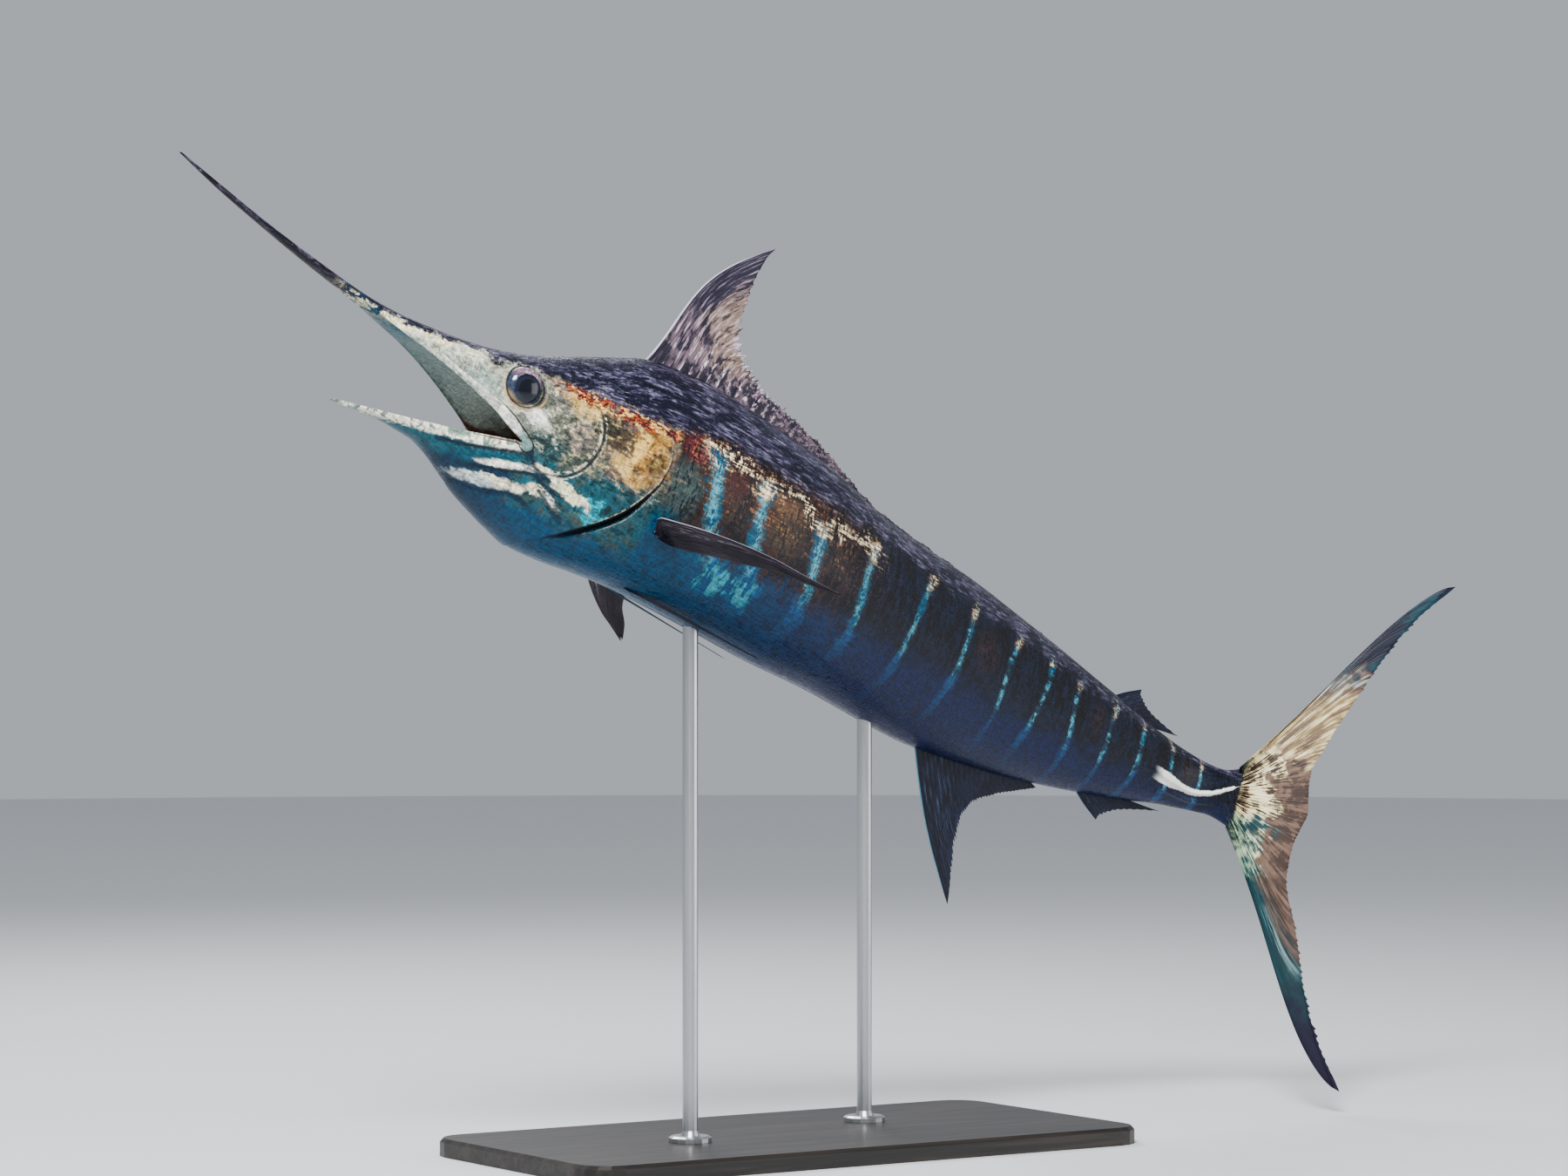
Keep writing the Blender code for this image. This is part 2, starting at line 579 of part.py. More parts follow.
def anal_fin():
    length = ANAL_BASE[1] - ANAL_BASE[0]
    return median_fin(lambda k: ANAL_BASE[0] + length * k, lambda k: (ANAL_EDGE_S(k), ANAL_EDGE_H(k)), **ANAL)


def second_dorsal():
    return median_fin(lambda k: 0.812 + 0.046 * k, lambda k: (0.842 + 0.052 * k ** 2.2, SMALL_DORSAL_EDGE_H(k)),
                      **SMALL)


def second_anal():
    return median_fin(lambda k: 0.803 + 0.048 * k, lambda k: (0.834 + 0.062 * k ** 1.8, SMALL_ANAL_EDGE_H(k)),
                      **SMALL, below=True)


TAIL_TRAIL = {1: smooth([0, 0.035, 0.057, 0.102, 0.147, 0.187, 0.219],
                        [1.018, 1.013, 1.019, 1.035, 1.053, 1.072, 1.094]),
              -1: smooth([0, 0.032, 0.053, 0.096, 0.142, 0.191, 0.218],
                         [1.018, 1.012, 1.013, 1.031, 1.050, 1.075, 1.094])}
TAIL_TIP = {1: 0.219, -1: 0.218}
TAIL_BOW = {1: 0.043, -1: 0.058}
TAIL_RAYS, TAIL_ROWS = 12, 8
TAIL_ROOT_HALF, TAIL_EDGE_HALF = 0.0035, 0.0006
TAIL_NOTCH = 0.002           # how far the webs end ahead of the rays


def tail_lobe(side):
    """Upper (1) or lower (-1) half of the tail fin, its rays fanning from the end of the stalk."""
    start = STALK_END + GAP / LENGTH
    half_gap = GAP / 2 / LENGTH

    def middle(k, r, is_ray):
        root = half_gap + (BACK(STALK_END) - half_gap) * (1 - k)
        end_z = half_gap + (TAIL_TIP[side] - half_gap) * (1 - k) ** 1.35
        end_s = TAIL_TRAIL[side](end_z) - (0.0 if is_ray else TAIL_NOTCH)
        rear = r ** 1.05
        bow = TAIL_BOW[side] * rear * rear * math.sqrt(max(0.0, 1 - rear)) * (1 - k) ** 2
        s = start + (end_s - start) * rear - bow
        z = root + (end_z - root) * rear
        _, left, _ = SPINE.frame(s)
        return SPINE.place(s, 0.0, side * z), left

    def thickness(k, r):
        root = WIDTH(STALK_END) * LENGTH * math.sqrt(1 - (0.97 * (1 - k)) ** 2)
        body = (root - TAIL_ROOT_HALF) * math.exp(-(r * 5.5) ** 1.4)
        web = TAIL_ROOT_HALF + (TAIL_EDGE_HALF - TAIL_ROOT_HALF) * r ** 0.6
        return body + web + 0.002 * math.exp(-k * 14) * (1 - r)

    return Fin(TAIL_RAYS, TAIL_ROWS, middle, thickness)


KEELS = {"upper": (0.842, 0.953, -0.004, 0.011), "lower": (0.868, 0.945, -0.0130, -0.009)}
KEEL_STEPS = 8
KEEL_SECTION = ((0.0038, 0.0), (0.0012, 0.0026), (-0.004, 0.0030), (-0.004, -0.0030), (0.0012, -0.0026))

PECTORAL_BASE = (0.265, 0.046, -0.0405)
PECTORAL_TIP = {1: (0.0604, 0.1714, -0.0172), -1: (0.120, -0.115, -0.042)}
PECTORAL_TURN = {1: (0.10, 0.35, 0.35, 0.30), -1: (0.10, -0.15, -0.25, -0.25)}
PECTORAL_SWEEP = {1: 1.0, -1: 0.4}   # share of the leading edge's curve; the right fin is folded back
PECTORAL_HOLD = {1: 0.12, -1: 0.45}
PECTORAL_STEPS = [0, 0.15, 0.30, 0.5, 0.7, 0.85, 1.0]
PECTORAL_CHORD = [0.0191, 0.0351, 0.0334, 0.0284, 0.0172, 0.0109, 0.0016]
PECTORAL_LEAD = [0.0, -0.0233, -0.0233, -0.0204, -0.0125, -0.0003, 0.0115]
PECTORAL = {"lean": 0.0, "rays": 12, "rows": 7, "root_half": 0.0060, "edge_half": 0.0006}
PELVIC_BASE = (0.278, 0.012, -0.0800)
PELVIC_REACH, PELVIC_DIP = 0.125, -0.0055
PELVIC_LEAN = 0.25
PELVIC = {"rays": 4, "rows": 6, "hold": 0.25, "root_half": 0.0022, "edge_half": 0.0005}


def keel_mesh(name, side, key):
    """A low fleshy ridge on the stalk, widest a third of the way along."""
    first, last, z_first, z_last = KEELS[key]
    rows = []
    for i in range(KEEL_STEPS + 1):
        t = i / KEEL_STEPS
        s = first + (last - first) * t
        z = z_first + (z_last - z_first) * t ** 2
        swell = math.sin(math.pi * min(1.0, 0.04 + 0.92 * t)) ** 0.8
        y = flank(s, z)
        row = [SPINE.place(s, side * (y + dy * swell), z + dz * swell) for dy, dz in KEEL_SECTION]
        rows.append(row + row[:1])
    return ridge_mesh(name, rows)


def pectoral_fin(side, rest):
    lead = [PECTORAL_SWEEP[side] * value for value in PECTORAL_LEAD]
    return paired_fin(side, PECTORAL_BASE, PECTORAL_TIP[side], smooth(PECTORAL_STEPS, PECTORAL_CHORD),
                      smooth(PECTORAL_STEPS, lead), smooth([0, 0.15, 0.5, 1.0], PECTORAL_TURN[side]),
                      hold=PECTORAL_HOLD[side], rest_on=rest, **PECTORAL)


def pelvic_fin(side, rest):
    chord, lead = smooth([0, 0.5, 1.0], [0.007, 0.0045, 0.0008]), smooth([0, 0.5, 1.0], [0.0, -0.001, 0.0])
    return paired_fin(side, PELVIC_BASE, (PELVIC_REACH, side * 0.012, PELVIC_DIP), chord, lead, lambda r: 0.0,
                      side * PELVIC_LEAN, rest_on=rest, **PELVIC)


# The stand

def base_mesh():
    """Flat plate with round corners and a bevelled upper edge."""
    rows = []
    for inset, height in ((0.0, 0.0), (0.0, BASE_SIZE[2] - BASE_BEVEL), (BASE_BEVEL, BASE_SIZE[2])):
        row = []
        for corner in range(4):
            sx, sy = ((1, 1), (-1, 1), (-1, -1), (1, -1))[corner]
            for i in range(5):
                angle = math.pi / 2 * (corner + i / 4)
                radius = BASE_CORNER - inset
                row.append(Vector((sx * (BASE_SIZE[0] / 2 - BASE_CORNER) + radius * math.cos(angle),
                                   sy * (BASE_SIZE[1] / 2 - BASE_CORNER) + radius * math.sin(angle), height)))
        rows.append(row + row[:1])
    return ridge_mesh("stand_base", rows)


def rod_mesh(name, x, y, top):
    """Turned rod with a foot flange, standing on the base."""
    foot = BASE_SIZE[2] + GAP
    profile = [(FLANGE_RADIUS, foot), (FLANGE_RADIUS, foot + FLANGE_HEIGHT * 0.7),
               (FLANGE_RADIUS * 0.86, foot + FLANGE_HEIGHT), (ROD_RADIUS * 1.25, foot + FLANGE_HEIGHT),
               (ROD_RADIUS, foot + FLANGE_HEIGHT * 1.8), (ROD_RADIUS, top)]
    rows = []
    for radius, height in profile:
        angles = [2 * math.pi * i / ROD_SIDES for i in range(ROD_SIDES)]
        row = [Vector((x + radius * math.cos(a), y + radius * math.sin(a), height)) for a in angles]
        rows.append(row + row[:1])
    return ridge_mesh(name, rows)


# Objects, Booleans and materials

FINISHES = {
    "bill": ((0.035, 0.030, 0.055), 0.40),
    "head": ((0.48, 0.44, 0.36), 0.32),
    "lower_jaw": ((0.34, 0.47, 0.50), 0.35),
    "gill_cover": ((0.62, 0.42, 0.20), 0.30),
    "eye": ((0.05, 0.06, 0.10), 0.08),
    "trunk": ((0.10, 0.10, 0.14), 0.34),
    "tail_stalk": ((0.16, 0.13, 0.13), 0.36),
    "fin": ((0.09, 0.08, 0.12), 0.45),
    "tail_fin": ((0.30, 0.24, 0.20), 0.42),
    "stand_base": ((0.06, 0.06, 0.06), 0.45),
    "stand_rod": ((0.62, 0.62, 0.63), 0.28),
}


def material(key):
    found = bpy.data.materials.get(key)
    if found:
        return found
    made = bpy.data.materials.new(key)
    made.use_nodes = True
    shader = made.node_tree.nodes["Principled BSDF"]
    colour, rough = FINISHES[key]
    shader.inputs["Base Color"].default_value = (*colour, 1.0)
    shader.inputs["Roughness"].default_value = rough
    shader.inputs["Metallic"].default_value = 1.0 if key == "stand_rod" else 0.0
    return made


def add(mesh, key, sharp=40):
    thing = bpy.data.objects.new(mesh.name, mesh)
    bpy.context.scene.collection.objects.link(thing)
    mesh.materials.append(material(key))
    mesh.shade_smooth()
    mesh.set_sharp_from_angle(angle=math.radians(sharp))
    return thing


def combine(thing, tools, operation, solver="EXACT"):
    """Applies Booleans with closed meshes, which are removed, and keeps the largest closed surface."""
    cutters = bpy.data.collections.new("cutters")
    bpy.context.scene.collection.children.link(cutters)
    for mesh in tools:
        cutter = bpy.data.objects.new(mesh.name, mesh)
        cutter.hide_render = True
        cutter.display_type = "WIRE"
        cutters.objects.link(cutter)
    step = thing.modifiers.new("combine", "BOOLEAN")
    step.operation = operation
    step.solver = solver
    step.operand_type = "COLLECTION"
    step.collection = cutters
    bpy.context.view_layer.update()
    result = bpy.data.meshes.new_from_object(thing.evaluated_get(bpy.context.evaluated_depsgraph_get()))
    thing.modifiers.clear()
    result.name = thing.name
    thing.data = result
    for cutter in list(cutters.objects):
        bpy.data.objects.remove(cutter, do_unlink=True)
    bpy.data.collections.remove(cutters)
    keep_largest(result)


def keep_largest(mesh):
    work = bmesh.new()
    work.from_mesh(mesh)
    left, groups = set(work.verts), []
    while left:
        stack, group = [left.pop()], set()
        while stack:
            vertex = stack.pop()
            group.add(vertex)
            for edge in vertex.link_edges:
                other = edge.other_vert(vertex)
                if other in left:
                    left.discard(other)
                    stack.append(other)
        groups.append(group)
    groups.sort(key=len)
    for group in groups[:-1]:
        bmesh.ops.delete(work, geom=list(group), context="VERTS")
    bmesh.ops.triangulate(work, faces=work.faces)
    work.to_mesh(mesh)
    work.free()


def lowest_point():
    """Height of the tail's lower tip below the axis' own origin."""
    lobe = tail_lobe(-1)
    return min(lobe.middle(k / 24, r / TAIL_ROWS, True)[0].z for k in range(25) for r in range(TAIL_ROWS + 1))


def rest_on_body(tree):
    """Moves a fin's root point along the fin onto the skin."""
    def rest(place, out):
        start = place + out * 0.03
        hit, _, _, _ = tree.ray_cast(start, -out, 0.12)
        return hit + out * GAP * 0.5 if hit else place
    return rest


def make_body():
    parts = {name: body_length(name, trunk_rings, row) for name, row in LENGTHS.items()}
    parts.update({
        "bill": body_length("bill", bill_rings, BILL_ROWS),
        "lower_jaw": body_length("lower_jaw", jaw_rings, JAW_ROWS),
    })
    for name, mesh in parts.items():
        add(mesh, "trunk" if name.startswith("trunk") else name)
    head = add(head_mesh(), "head")
    combine(bpy.data.objects["tail_stalk"],
            [keel_mesh(f"keel_{key}", side, key) for side in (1, -1) for key in KEELS], "UNION")
    combine(head, [maxilla_mesh("maxilla", side) for side in (1, -1)], "UNION")
    tools = [gill_mesh("gill_recess", side, True) for side in (1, -1)]
    for side, word in ((1, "left"), (-1, "right")):
        place = (EYE_PLACE[0], side * EYE_PLACE[1], EYE_PLACE[2])
        add(ellipsoid(f"eye_{word}", place, EYE_RADII, 0.0), "eye")
        add(gill_mesh(f"gill_cover_{word}", side, False), "gill_cover")
        tools.append(ellipsoid("socket", place, EYE_RADII, GAP))
        for (s, y, z), radius in NOSTRILS:
            tools.append(ellipsoid("nostril", (s, side * y, z), (radius, 0.004, radius * 0.8), 0.0, 8, 4))
    combine(head, tools, "DIFFERENCE")


def make_fins(tree):
    rest = rest_on_body(tree)
    for name, fin in (("dorsal_fin_first", dorsal_fin()), ("anal_fin_first", anal_fin()),
                      ("dorsal_fin_second", second_dorsal()), ("anal_fin_second", second_anal())):
        add(fin.mesh(name), "fin", 70)
    for name, side in (("tail_fin_upper", 1), ("tail_fin_lower", -1)):
        add(tail_lobe(side).mesh(name), "tail_fin", 70)
    for side, word in ((1, "left"), (-1, "right")):
        add(pectoral_fin(side, rest).mesh(f"pectoral_fin_{word}"), "fin", 70)
        add(pelvic_fin(side, rest).mesh(f"pelvic_fin_{word}"), "fin", 70)


def make_stand():
    add(base_mesh(), "stand_base", 25)
    for name, s in ROD_STATIONS.items():
        foot = SPINE.place(s, 0.0, BELLY(s))
        rod = add(rod_mesh(name, foot.x, foot.y, foot.z + 0.09), "stand_rod")
        combine(rod, [clear_body()], "DIFFERENCE")


def main():
    for thing in list(bpy.data.objects):
        bpy.data.objects.remove(thing, do_unlink=True)
    SPINE.lift = FLOOR_CLEARANCE - lowest_point()
    make_body()
    work = bmesh.new()
    work.from_mesh(clear_body())
    make_fins(BVHTree.FromBMesh(work))
    work.free()
    make_stand()


main()
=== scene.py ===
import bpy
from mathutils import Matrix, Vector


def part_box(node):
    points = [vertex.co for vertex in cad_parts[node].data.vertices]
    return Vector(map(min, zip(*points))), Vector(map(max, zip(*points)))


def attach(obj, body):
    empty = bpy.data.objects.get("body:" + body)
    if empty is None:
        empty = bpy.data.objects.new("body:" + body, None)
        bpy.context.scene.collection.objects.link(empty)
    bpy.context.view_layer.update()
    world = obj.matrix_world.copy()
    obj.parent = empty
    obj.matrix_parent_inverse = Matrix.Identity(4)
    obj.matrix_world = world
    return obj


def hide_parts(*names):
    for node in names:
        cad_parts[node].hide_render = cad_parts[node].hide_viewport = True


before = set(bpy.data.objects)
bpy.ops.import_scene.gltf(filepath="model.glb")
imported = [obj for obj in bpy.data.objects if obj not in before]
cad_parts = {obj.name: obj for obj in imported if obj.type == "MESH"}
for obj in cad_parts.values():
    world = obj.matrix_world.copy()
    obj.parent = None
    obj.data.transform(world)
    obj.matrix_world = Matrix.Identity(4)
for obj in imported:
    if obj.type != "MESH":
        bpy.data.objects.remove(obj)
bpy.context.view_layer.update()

"""Looks of a life-size blue marlin: one skin with its scales, eyes, fins and a plain display stand.

The fish is drawn in its own straight frame and then bent: s runs from the lower jaw's tip to the tail, y to
its left and z to its back, all in shares of its length. Every skin point keeps its straight place as the
attribute "own", so that the markings follow the body round its bends.
"""
import logging
import math
from dataclasses import dataclass
from enum import Enum
from typing import Any, Callable

import bpy
import numpy as np
from mathutils import Matrix, Vector

log = logging.getLogger("marlin")
Array = np.ndarray
Colour = tuple[float, float, float]
Material = bpy.types.Material
Mesh = bpy.types.Mesh

LENGTH = 2.20                # lower jaw tip to fork of tail, metres
MILLIMETRE = 0.001 / LENGTH  # one millimetre as a share of the length
BODY = "root"
BILL_TIP = -0.169
JAW_TIP = 0.0165
JAW_SLOPE = 0.289            # how far the lower jaw drops along its length
MOUTH_CORNER = 0.147
CORNER_Z = -0.0235           # height of the mouth's corner
MOUTH_BACK = 0.175
STALK_END = 0.958
EYE = (0.134, 0.0285, 0.014)


class Curve:
    """Smooth curve through a few values that never swings past them (monotone cubic)."""

    def __init__(self, knots: Any, values: Any) -> None:
        """Works out the slopes.

        Args:
            knots: places of the values, rising.
            values: what the curve passes through.
        """
        x, y = np.array(knots, float), np.array(values, float)
        step = np.diff(x)
        slope = np.diff(y) / step
        bend = np.zeros(len(x))
        bend[0], bend[-1] = slope[0], slope[-1]
        for i in range(1, len(x) - 1):
            if slope[i - 1] * slope[i] > 0:
                a, b = 2 * step[i] + step[i - 1], step[i] + 2 * step[i - 1]
                bend[i] = (a + b) / (a / slope[i - 1] + b / slope[i])
        self.x, self.y, self.step, self.bend = x, y, step, bend

    def __call__(self, at: Any) -> Array:
        """Values of the curve at the given places, held level beyond its ends.

        Args:
            at: places on the curve.

        Returns:
            The values, in the shape of the places.
        """
        at = np.clip(np.asarray(at, float), self.x[0], self.x[-1])
        i = np.clip(np.searchsorted(self.x, at, side="right") - 1, 0, len(self.x) - 2)
        t = (at - self.x[i]) / self.step[i]
        return ((1 + 2 * t) * (1 - t) ** 2 * self.y[i] + t * (1 - t) ** 2 * self.step[i] * self.bend[i]
                + t * t * (3 - 2 * t) * self.y[i + 1] - t * t * (1 - t) * self.step[i] * self.bend[i + 1])


def ease(x: Any, low: float, high: float) -> Array:
    """0 at low, 1 at high and smooth between; low may be over high."""
    t = np.clip((np.asarray(x, float) - low) / (high - low), 0, 1)
    return t * t * (3 - 2 * t)


def hump(gap: Array, width: Any, power: float = 2) -> Array:
    """Bell of height 1 round zero."""
    return np.exp(-(gap / width) ** power)


@dataclass
class Spine:
    """The bent axis of the body in the world."""

    pitch: float = 23.1
    stations: tuple[float, ...] = (-0.25, 0.02, 0.26, 0.50, 0.72, 0.88, 0.97, 1.20)
    turn_degrees: tuple[float, ...] = (3.5, 3.5, 0.0, -15.5, -8.6, -1.7, 38.3, 38.3)
    dip_degrees: tuple[float, ...] = (7.0, 7.0, 0.0, 0.0, -1.4, -3.6, -4.8, -4.8)
    samples: int = 1451

    def __post_init__(self) -> None:
        """Runs along the axis once, and hangs it on the frame by the left eye."""
        self.at = np.linspace(self.stations[0], self.stations[-1], self.samples)
        self.turn, self.dip = (np.radians(Curve(self.stations, v)(self.at))
                               for v in (self.turn_degrees, self.dip_degrees))
        run = np.stack([np.cos(self.turn) * np.cos(self.dip), np.sin(self.turn) * np.cos(self.dip),
                        -np.sin(self.dip)], 1)
        half = (run[1:] + run[:-1]) / 2 * (self.at[1] - self.at[0])
        self.line = np.concatenate([[np.zeros(3)], np.cumsum(half, 0)])
        c, s = math.cos(math.radians(self.pitch)), math.sin(math.radians(self.pitch))
        self.to_world = np.array([[c, 0, s], [0, -1, 0], [-s, 0, c]])
        self.origin = np.zeros(3)
        low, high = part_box("eye_left")
        self.origin = (np.array(low) + np.array(high)) / 2 - self.place(*EYE)[0]

    def directions(self, s: Any) -> tuple[Array, Array, Array]:
        """Axis points and unit directions to the left and to the back.

        Args:
            s: stations.

        Returns:
            Three arrays of world vectors, one row for each station.
        """
        s = np.atleast_1d(np.asarray(s, float))
        t, d = np.interp(s, self.at, self.turn), np.interp(s, self.at, self.dip)
        centre = np.stack([np.interp(s, self.at, self.line[:, i]) for i in range(3)], 1) * LENGTH
        left = np.stack([-np.sin(t), np.cos(t), 0 * t], 1)
        up = np.stack([np.cos(t) * np.sin(d), np.sin(t) * np.sin(d), np.cos(d)], 1)
        return centre @ self.to_world.T + self.origin, left @ self.to_world.T, up @ self.to_world.T

    def place(self, s: Any, y: Any, z: Any) -> Array:
        """World points of places on the straight fish.

        Args:
            s: stations.
            y: places to the left.
            z: heights.

        Returns:
            One row for each place.
        """
        s, y, z = np.broadcast_arrays(*[np.atleast_1d(np.asarray(v, float)) for v in (s, y, z)])
        centre, left, up = self.directions(s.ravel())
        return centre + left * (y.ravel()[:, None] * LENGTH) + up * (z.ravel()[:, None] * LENGTH)


@dataclass
class Form:
    """The fish's outlines: side view, widths, the mouth and the dropped lower jaw."""

    back: Curve = Curve(
        [-0.169, -0.13, -0.09, -0.048, 0.0, 0.03, 0.057, 0.094, 0.137, 0.164, 0.207, 0.233, 0.28, 0.40, 0.50,
         0.60, 0.70, 0.80, 0.90, 0.94, 0.962],
        [0.0302, 0.0260, 0.0218, 0.0190, 0.0172, 0.019, 0.0235, 0.031, 0.0445, 0.057, 0.076, 0.086, 0.0915,
         0.084, 0.0715, 0.070, 0.0615, 0.046, 0.026, 0.0205, 0.0275])
    middle: Curve = Curve(
        [-0.169, -0.13, -0.09, -0.048, 0.0, 0.03, 0.06, 0.10, 0.15, 0.20, 0.30, 1.0],
        [0.0295, 0.0238, 0.0193, 0.0158, 0.0125, 0.011, 0.009, 0.006, 0.003, 0.002, 0.0, 0.0])
    belly: Curve = Curve(
        [0.147, 0.165, 0.19, 0.21, 0.24, 0.28, 0.40, 0.50, 0.60, 0.70, 0.80, 0.86, 0.90, 0.935, 0.962],
        [-0.079, -0.0845, -0.0885, -0.0875, -0.084, -0.0815, -0.082, -0.0765, -0.074, -0.0625, -0.0445,
         -0.032, -0.0235, -0.0200, -0.0275])
    width: Curve = Curve(
        [-0.169, -0.13, -0.09, -0.048, 0.0, 0.03, 0.06, 0.10, 0.13, 0.155, 0.20, 0.25, 0.30, 0.40, 0.50, 0.60,
         0.70, 0.80, 0.88, 0.93, 0.962],
        [0.0006, 0.0022, 0.0036, 0.005, 0.0075, 0.0105, 0.016, 0.026, 0.0335, 0.039, 0.048, 0.0545, 0.056,
         0.056, 0.0525, 0.047, 0.039, 0.029, 0.019, 0.0125, 0.0075])
    lip: Curve = Curve([-0.169, -0.13, -0.09, -0.048, 0.0, 0.03, 0.06, 0.09, 0.12, 0.147],
                       [0.0295, 0.0238, 0.0193, 0.0158, 0.0120, 0.0075, 0.0035, -0.003, -0.0125, CORNER_Z])
    roof: Curve = Curve(
        [-0.169, -0.13, -0.09, -0.048, 0.0, 0.03, 0.06, 0.09, 0.12, 0.147, 0.175],
        [-0.0006, -0.0018, -0.0024, -0.0033, -0.0035, -0.002, 0.002, 0.006, 0.010, 0.012, 0.001])
    under: Curve = Curve([-0.169, 0.0, 0.03, 0.06, 0.10, 0.147], [0.002, 0.010, 0.014, 0.022, 0.045, 0.0820])
    side_line: Curve = Curve([0.147, 0.20, 0.30, 0.60, 1.0], [CORNER_Z, -0.0225, -0.020, -0.008, 0.0])
    jaw_bottom: Curve = Curve([0.0165, 0.03, 0.044, 0.065, 0.084, 0.097, 0.116, 0.131, 0.147],
                              [-0.0628, -0.0606, -0.0578, -0.0548, -0.0545, -0.0575, -0.066, -0.0735, -0.079])
    jaw_width: Curve = Curve([0.0165, 0.03, 0.05, 0.08, 0.11, 0.147],
                             [0.0008, 0.0035, 0.0075, 0.0145, 0.0235, 0.0364])
    floor: Curve = Curve([0.0165, 0.03, 0.065, 0.10, 0.147, 0.175],
                         [0.0003, 0.0009, 0.003, 0.008, 0.016, 0.001])
    pocket: Curve = Curve([0.147, 0.155, 0.175], [0.0364, 0.0300, 0.0180])

    def underside(self, s: Array) -> Array:
        """Depth below the widest level that the lower arc is drawn with."""
        return np.where(s < MOUTH_CORNER, self.under(s), self.middle(s) - self.belly(s))

    def side_edge(self, s: Array) -> tuple[Array, Array]:
        """Half-width and height of the upper lip, or behind the mouth of the side line.

        Args:
            s: stations.

        Returns:
            The half-widths and the heights.
        """
        z = np.where(s < MOUTH_CORNER, np.minimum(self.lip(s), self.middle(s)), self.side_line(s))
        ratio = np.clip((z - self.middle(s)) / self.underside(s), -1, 1)
        return self.width(s) * np.sqrt(1 - ratio ** 2), z

    def upper(self, s: Array, t: Array) -> tuple[Array, Array]:
        """Upper outline. t runs from -1 at the left edge to 1 at the right edge.

        Args:
            s: stations.
            t: places round the outline.

        Returns:
            Places to the left, and heights.
        """
        _, edge = self.side_edge(s)
        low = -np.arcsin(np.clip((self.middle(s) - edge) / self.underside(s), -1, 1))
        angle = np.pi / 2 - np.abs(t) * (np.pi / 2 - low)
        reach = np.where(angle > 0, self.back(s) - self.middle(s), self.underside(s))
        return -np.sign(t) * self.width(s) * np.cos(angle), self.middle(s) + reach * np.sin(angle)

    def lower(self, s: Array, t: Array) -> tuple[Array, Array]:
        """Outline of the dropped jaw, and behind the mouth's corner of the throat and belly.

        Args:
            s: stations.
            t: places round the outline.

        Returns:
            Places to the left, and heights.
        """
        level = self.middle(MOUTH_CORNER)
        full_tilt = np.arcsin((level - CORNER_Z) / (level - self.belly(MOUTH_CORNER)))
        tilt = full_tilt * ease(s, 0.06, MOUTH_CORNER)
        lip = CORNER_Z - JAW_SLOPE * (MOUTH_CORNER - s)
        jaw_depth = (lip - self.jaw_bottom(s)) / (1 - np.sin(tilt))
        jaw = s < MOUTH_CORNER
        middle = np.where(jaw, lip + jaw_depth * np.sin(tilt), self.middle(s))
        full = self.middle(s) - self.belly(s)
        half = np.where(jaw, self.jaw_width(s) / np.cos(tilt), self.width(s))
        start = np.where(jaw, tilt, np.arcsin(np.clip((self.middle(s) - self.side_line(s)) / full, -1, 1)))
        angle = np.pi / 2 - np.abs(t) * (np.pi / 2 - start)
        return -np.sign(t) * half * np.cos(angle), middle - np.where(jaw, jaw_depth, full) * np.sin(angle)

    def mouth(self, s: Array, t: Array, roof: bool) -> tuple[Array, Array]:
        """Roof or floor of the mouth from lip to lip, and on the bill its underside.

        Args:
            s: stations.
            t: places round the outline.
            roof: the roof, or else the floor.

        Returns:
            Places to the left, and heights.
        """
        edge_y, edge_z = self.side_edge(s) if roof else self.lower(s, np.full_like(s, -1.0))
        inside = s > MOUTH_CORNER
        edge_y = np.where(inside, self.pocket(s), edge_y)
        edge_z = np.where(inside, self.side_line(s), edge_z)
        bulge = self.roof(s) if roof else -self.floor(s)
        return -edge_y * np.sin(t * np.pi / 2), edge_z + bulge * np.cos(t * np.pi / 2)


class Path:
    """A line on the side of the fish, for what follows a drawn edge."""

    fineness: int = 60

    def __init__(self, *points: tuple[float, float]) -> None:
        """Rounds the corners by a smooth curve through the points.

        Args:
            points: a station and a height each.
        """
        given = np.array(points)
        run = np.concatenate([[0], np.cumsum(np.linalg.norm(np.diff(given, axis=0), axis=1))])
        even = np.linspace(0, run[-1], self.fineness)
        self.line = np.stack([Curve(run, given[:, i])(even) for i in range(2)], 1)

    def measure(self, s: Array, z: Array) -> tuple[Array, Array]:
        """How far points lie from the line, and where along it.

        Args:
            s: stations of the points.
            z: heights of the points.

        Returns:
            Signed distances, positive to the left of the line's run, and shares of its length from 0 to 1.
        """
        best = np.full(s.shape, 9.0)
        sign, along = np.ones(s.shape), np.zeros(s.shape)
        count = len(self.line) - 1
        for i in range(count):
            a, b = self.line[i], self.line[i + 1]
            d = b - a
            t = np.clip(((s - a[0]) * d[0] + (z - a[1]) * d[1]) / (d @ d), 0, 1)
            gap_s, gap_z = s - a[0] - t * d[0], z - a[1] - t * d[1]
            gap = np.hypot(gap_s, gap_z)
            closer = gap < best - 1e-12
            best = np.where(closer, gap, best)
            along = np.where(closer, (i + t) / count, along)
            sign = np.where(closer, np.sign(d[0] * gap_z - d[1] * gap_s), sign)
        return best * np.where(sign == 0, 1, sign), along


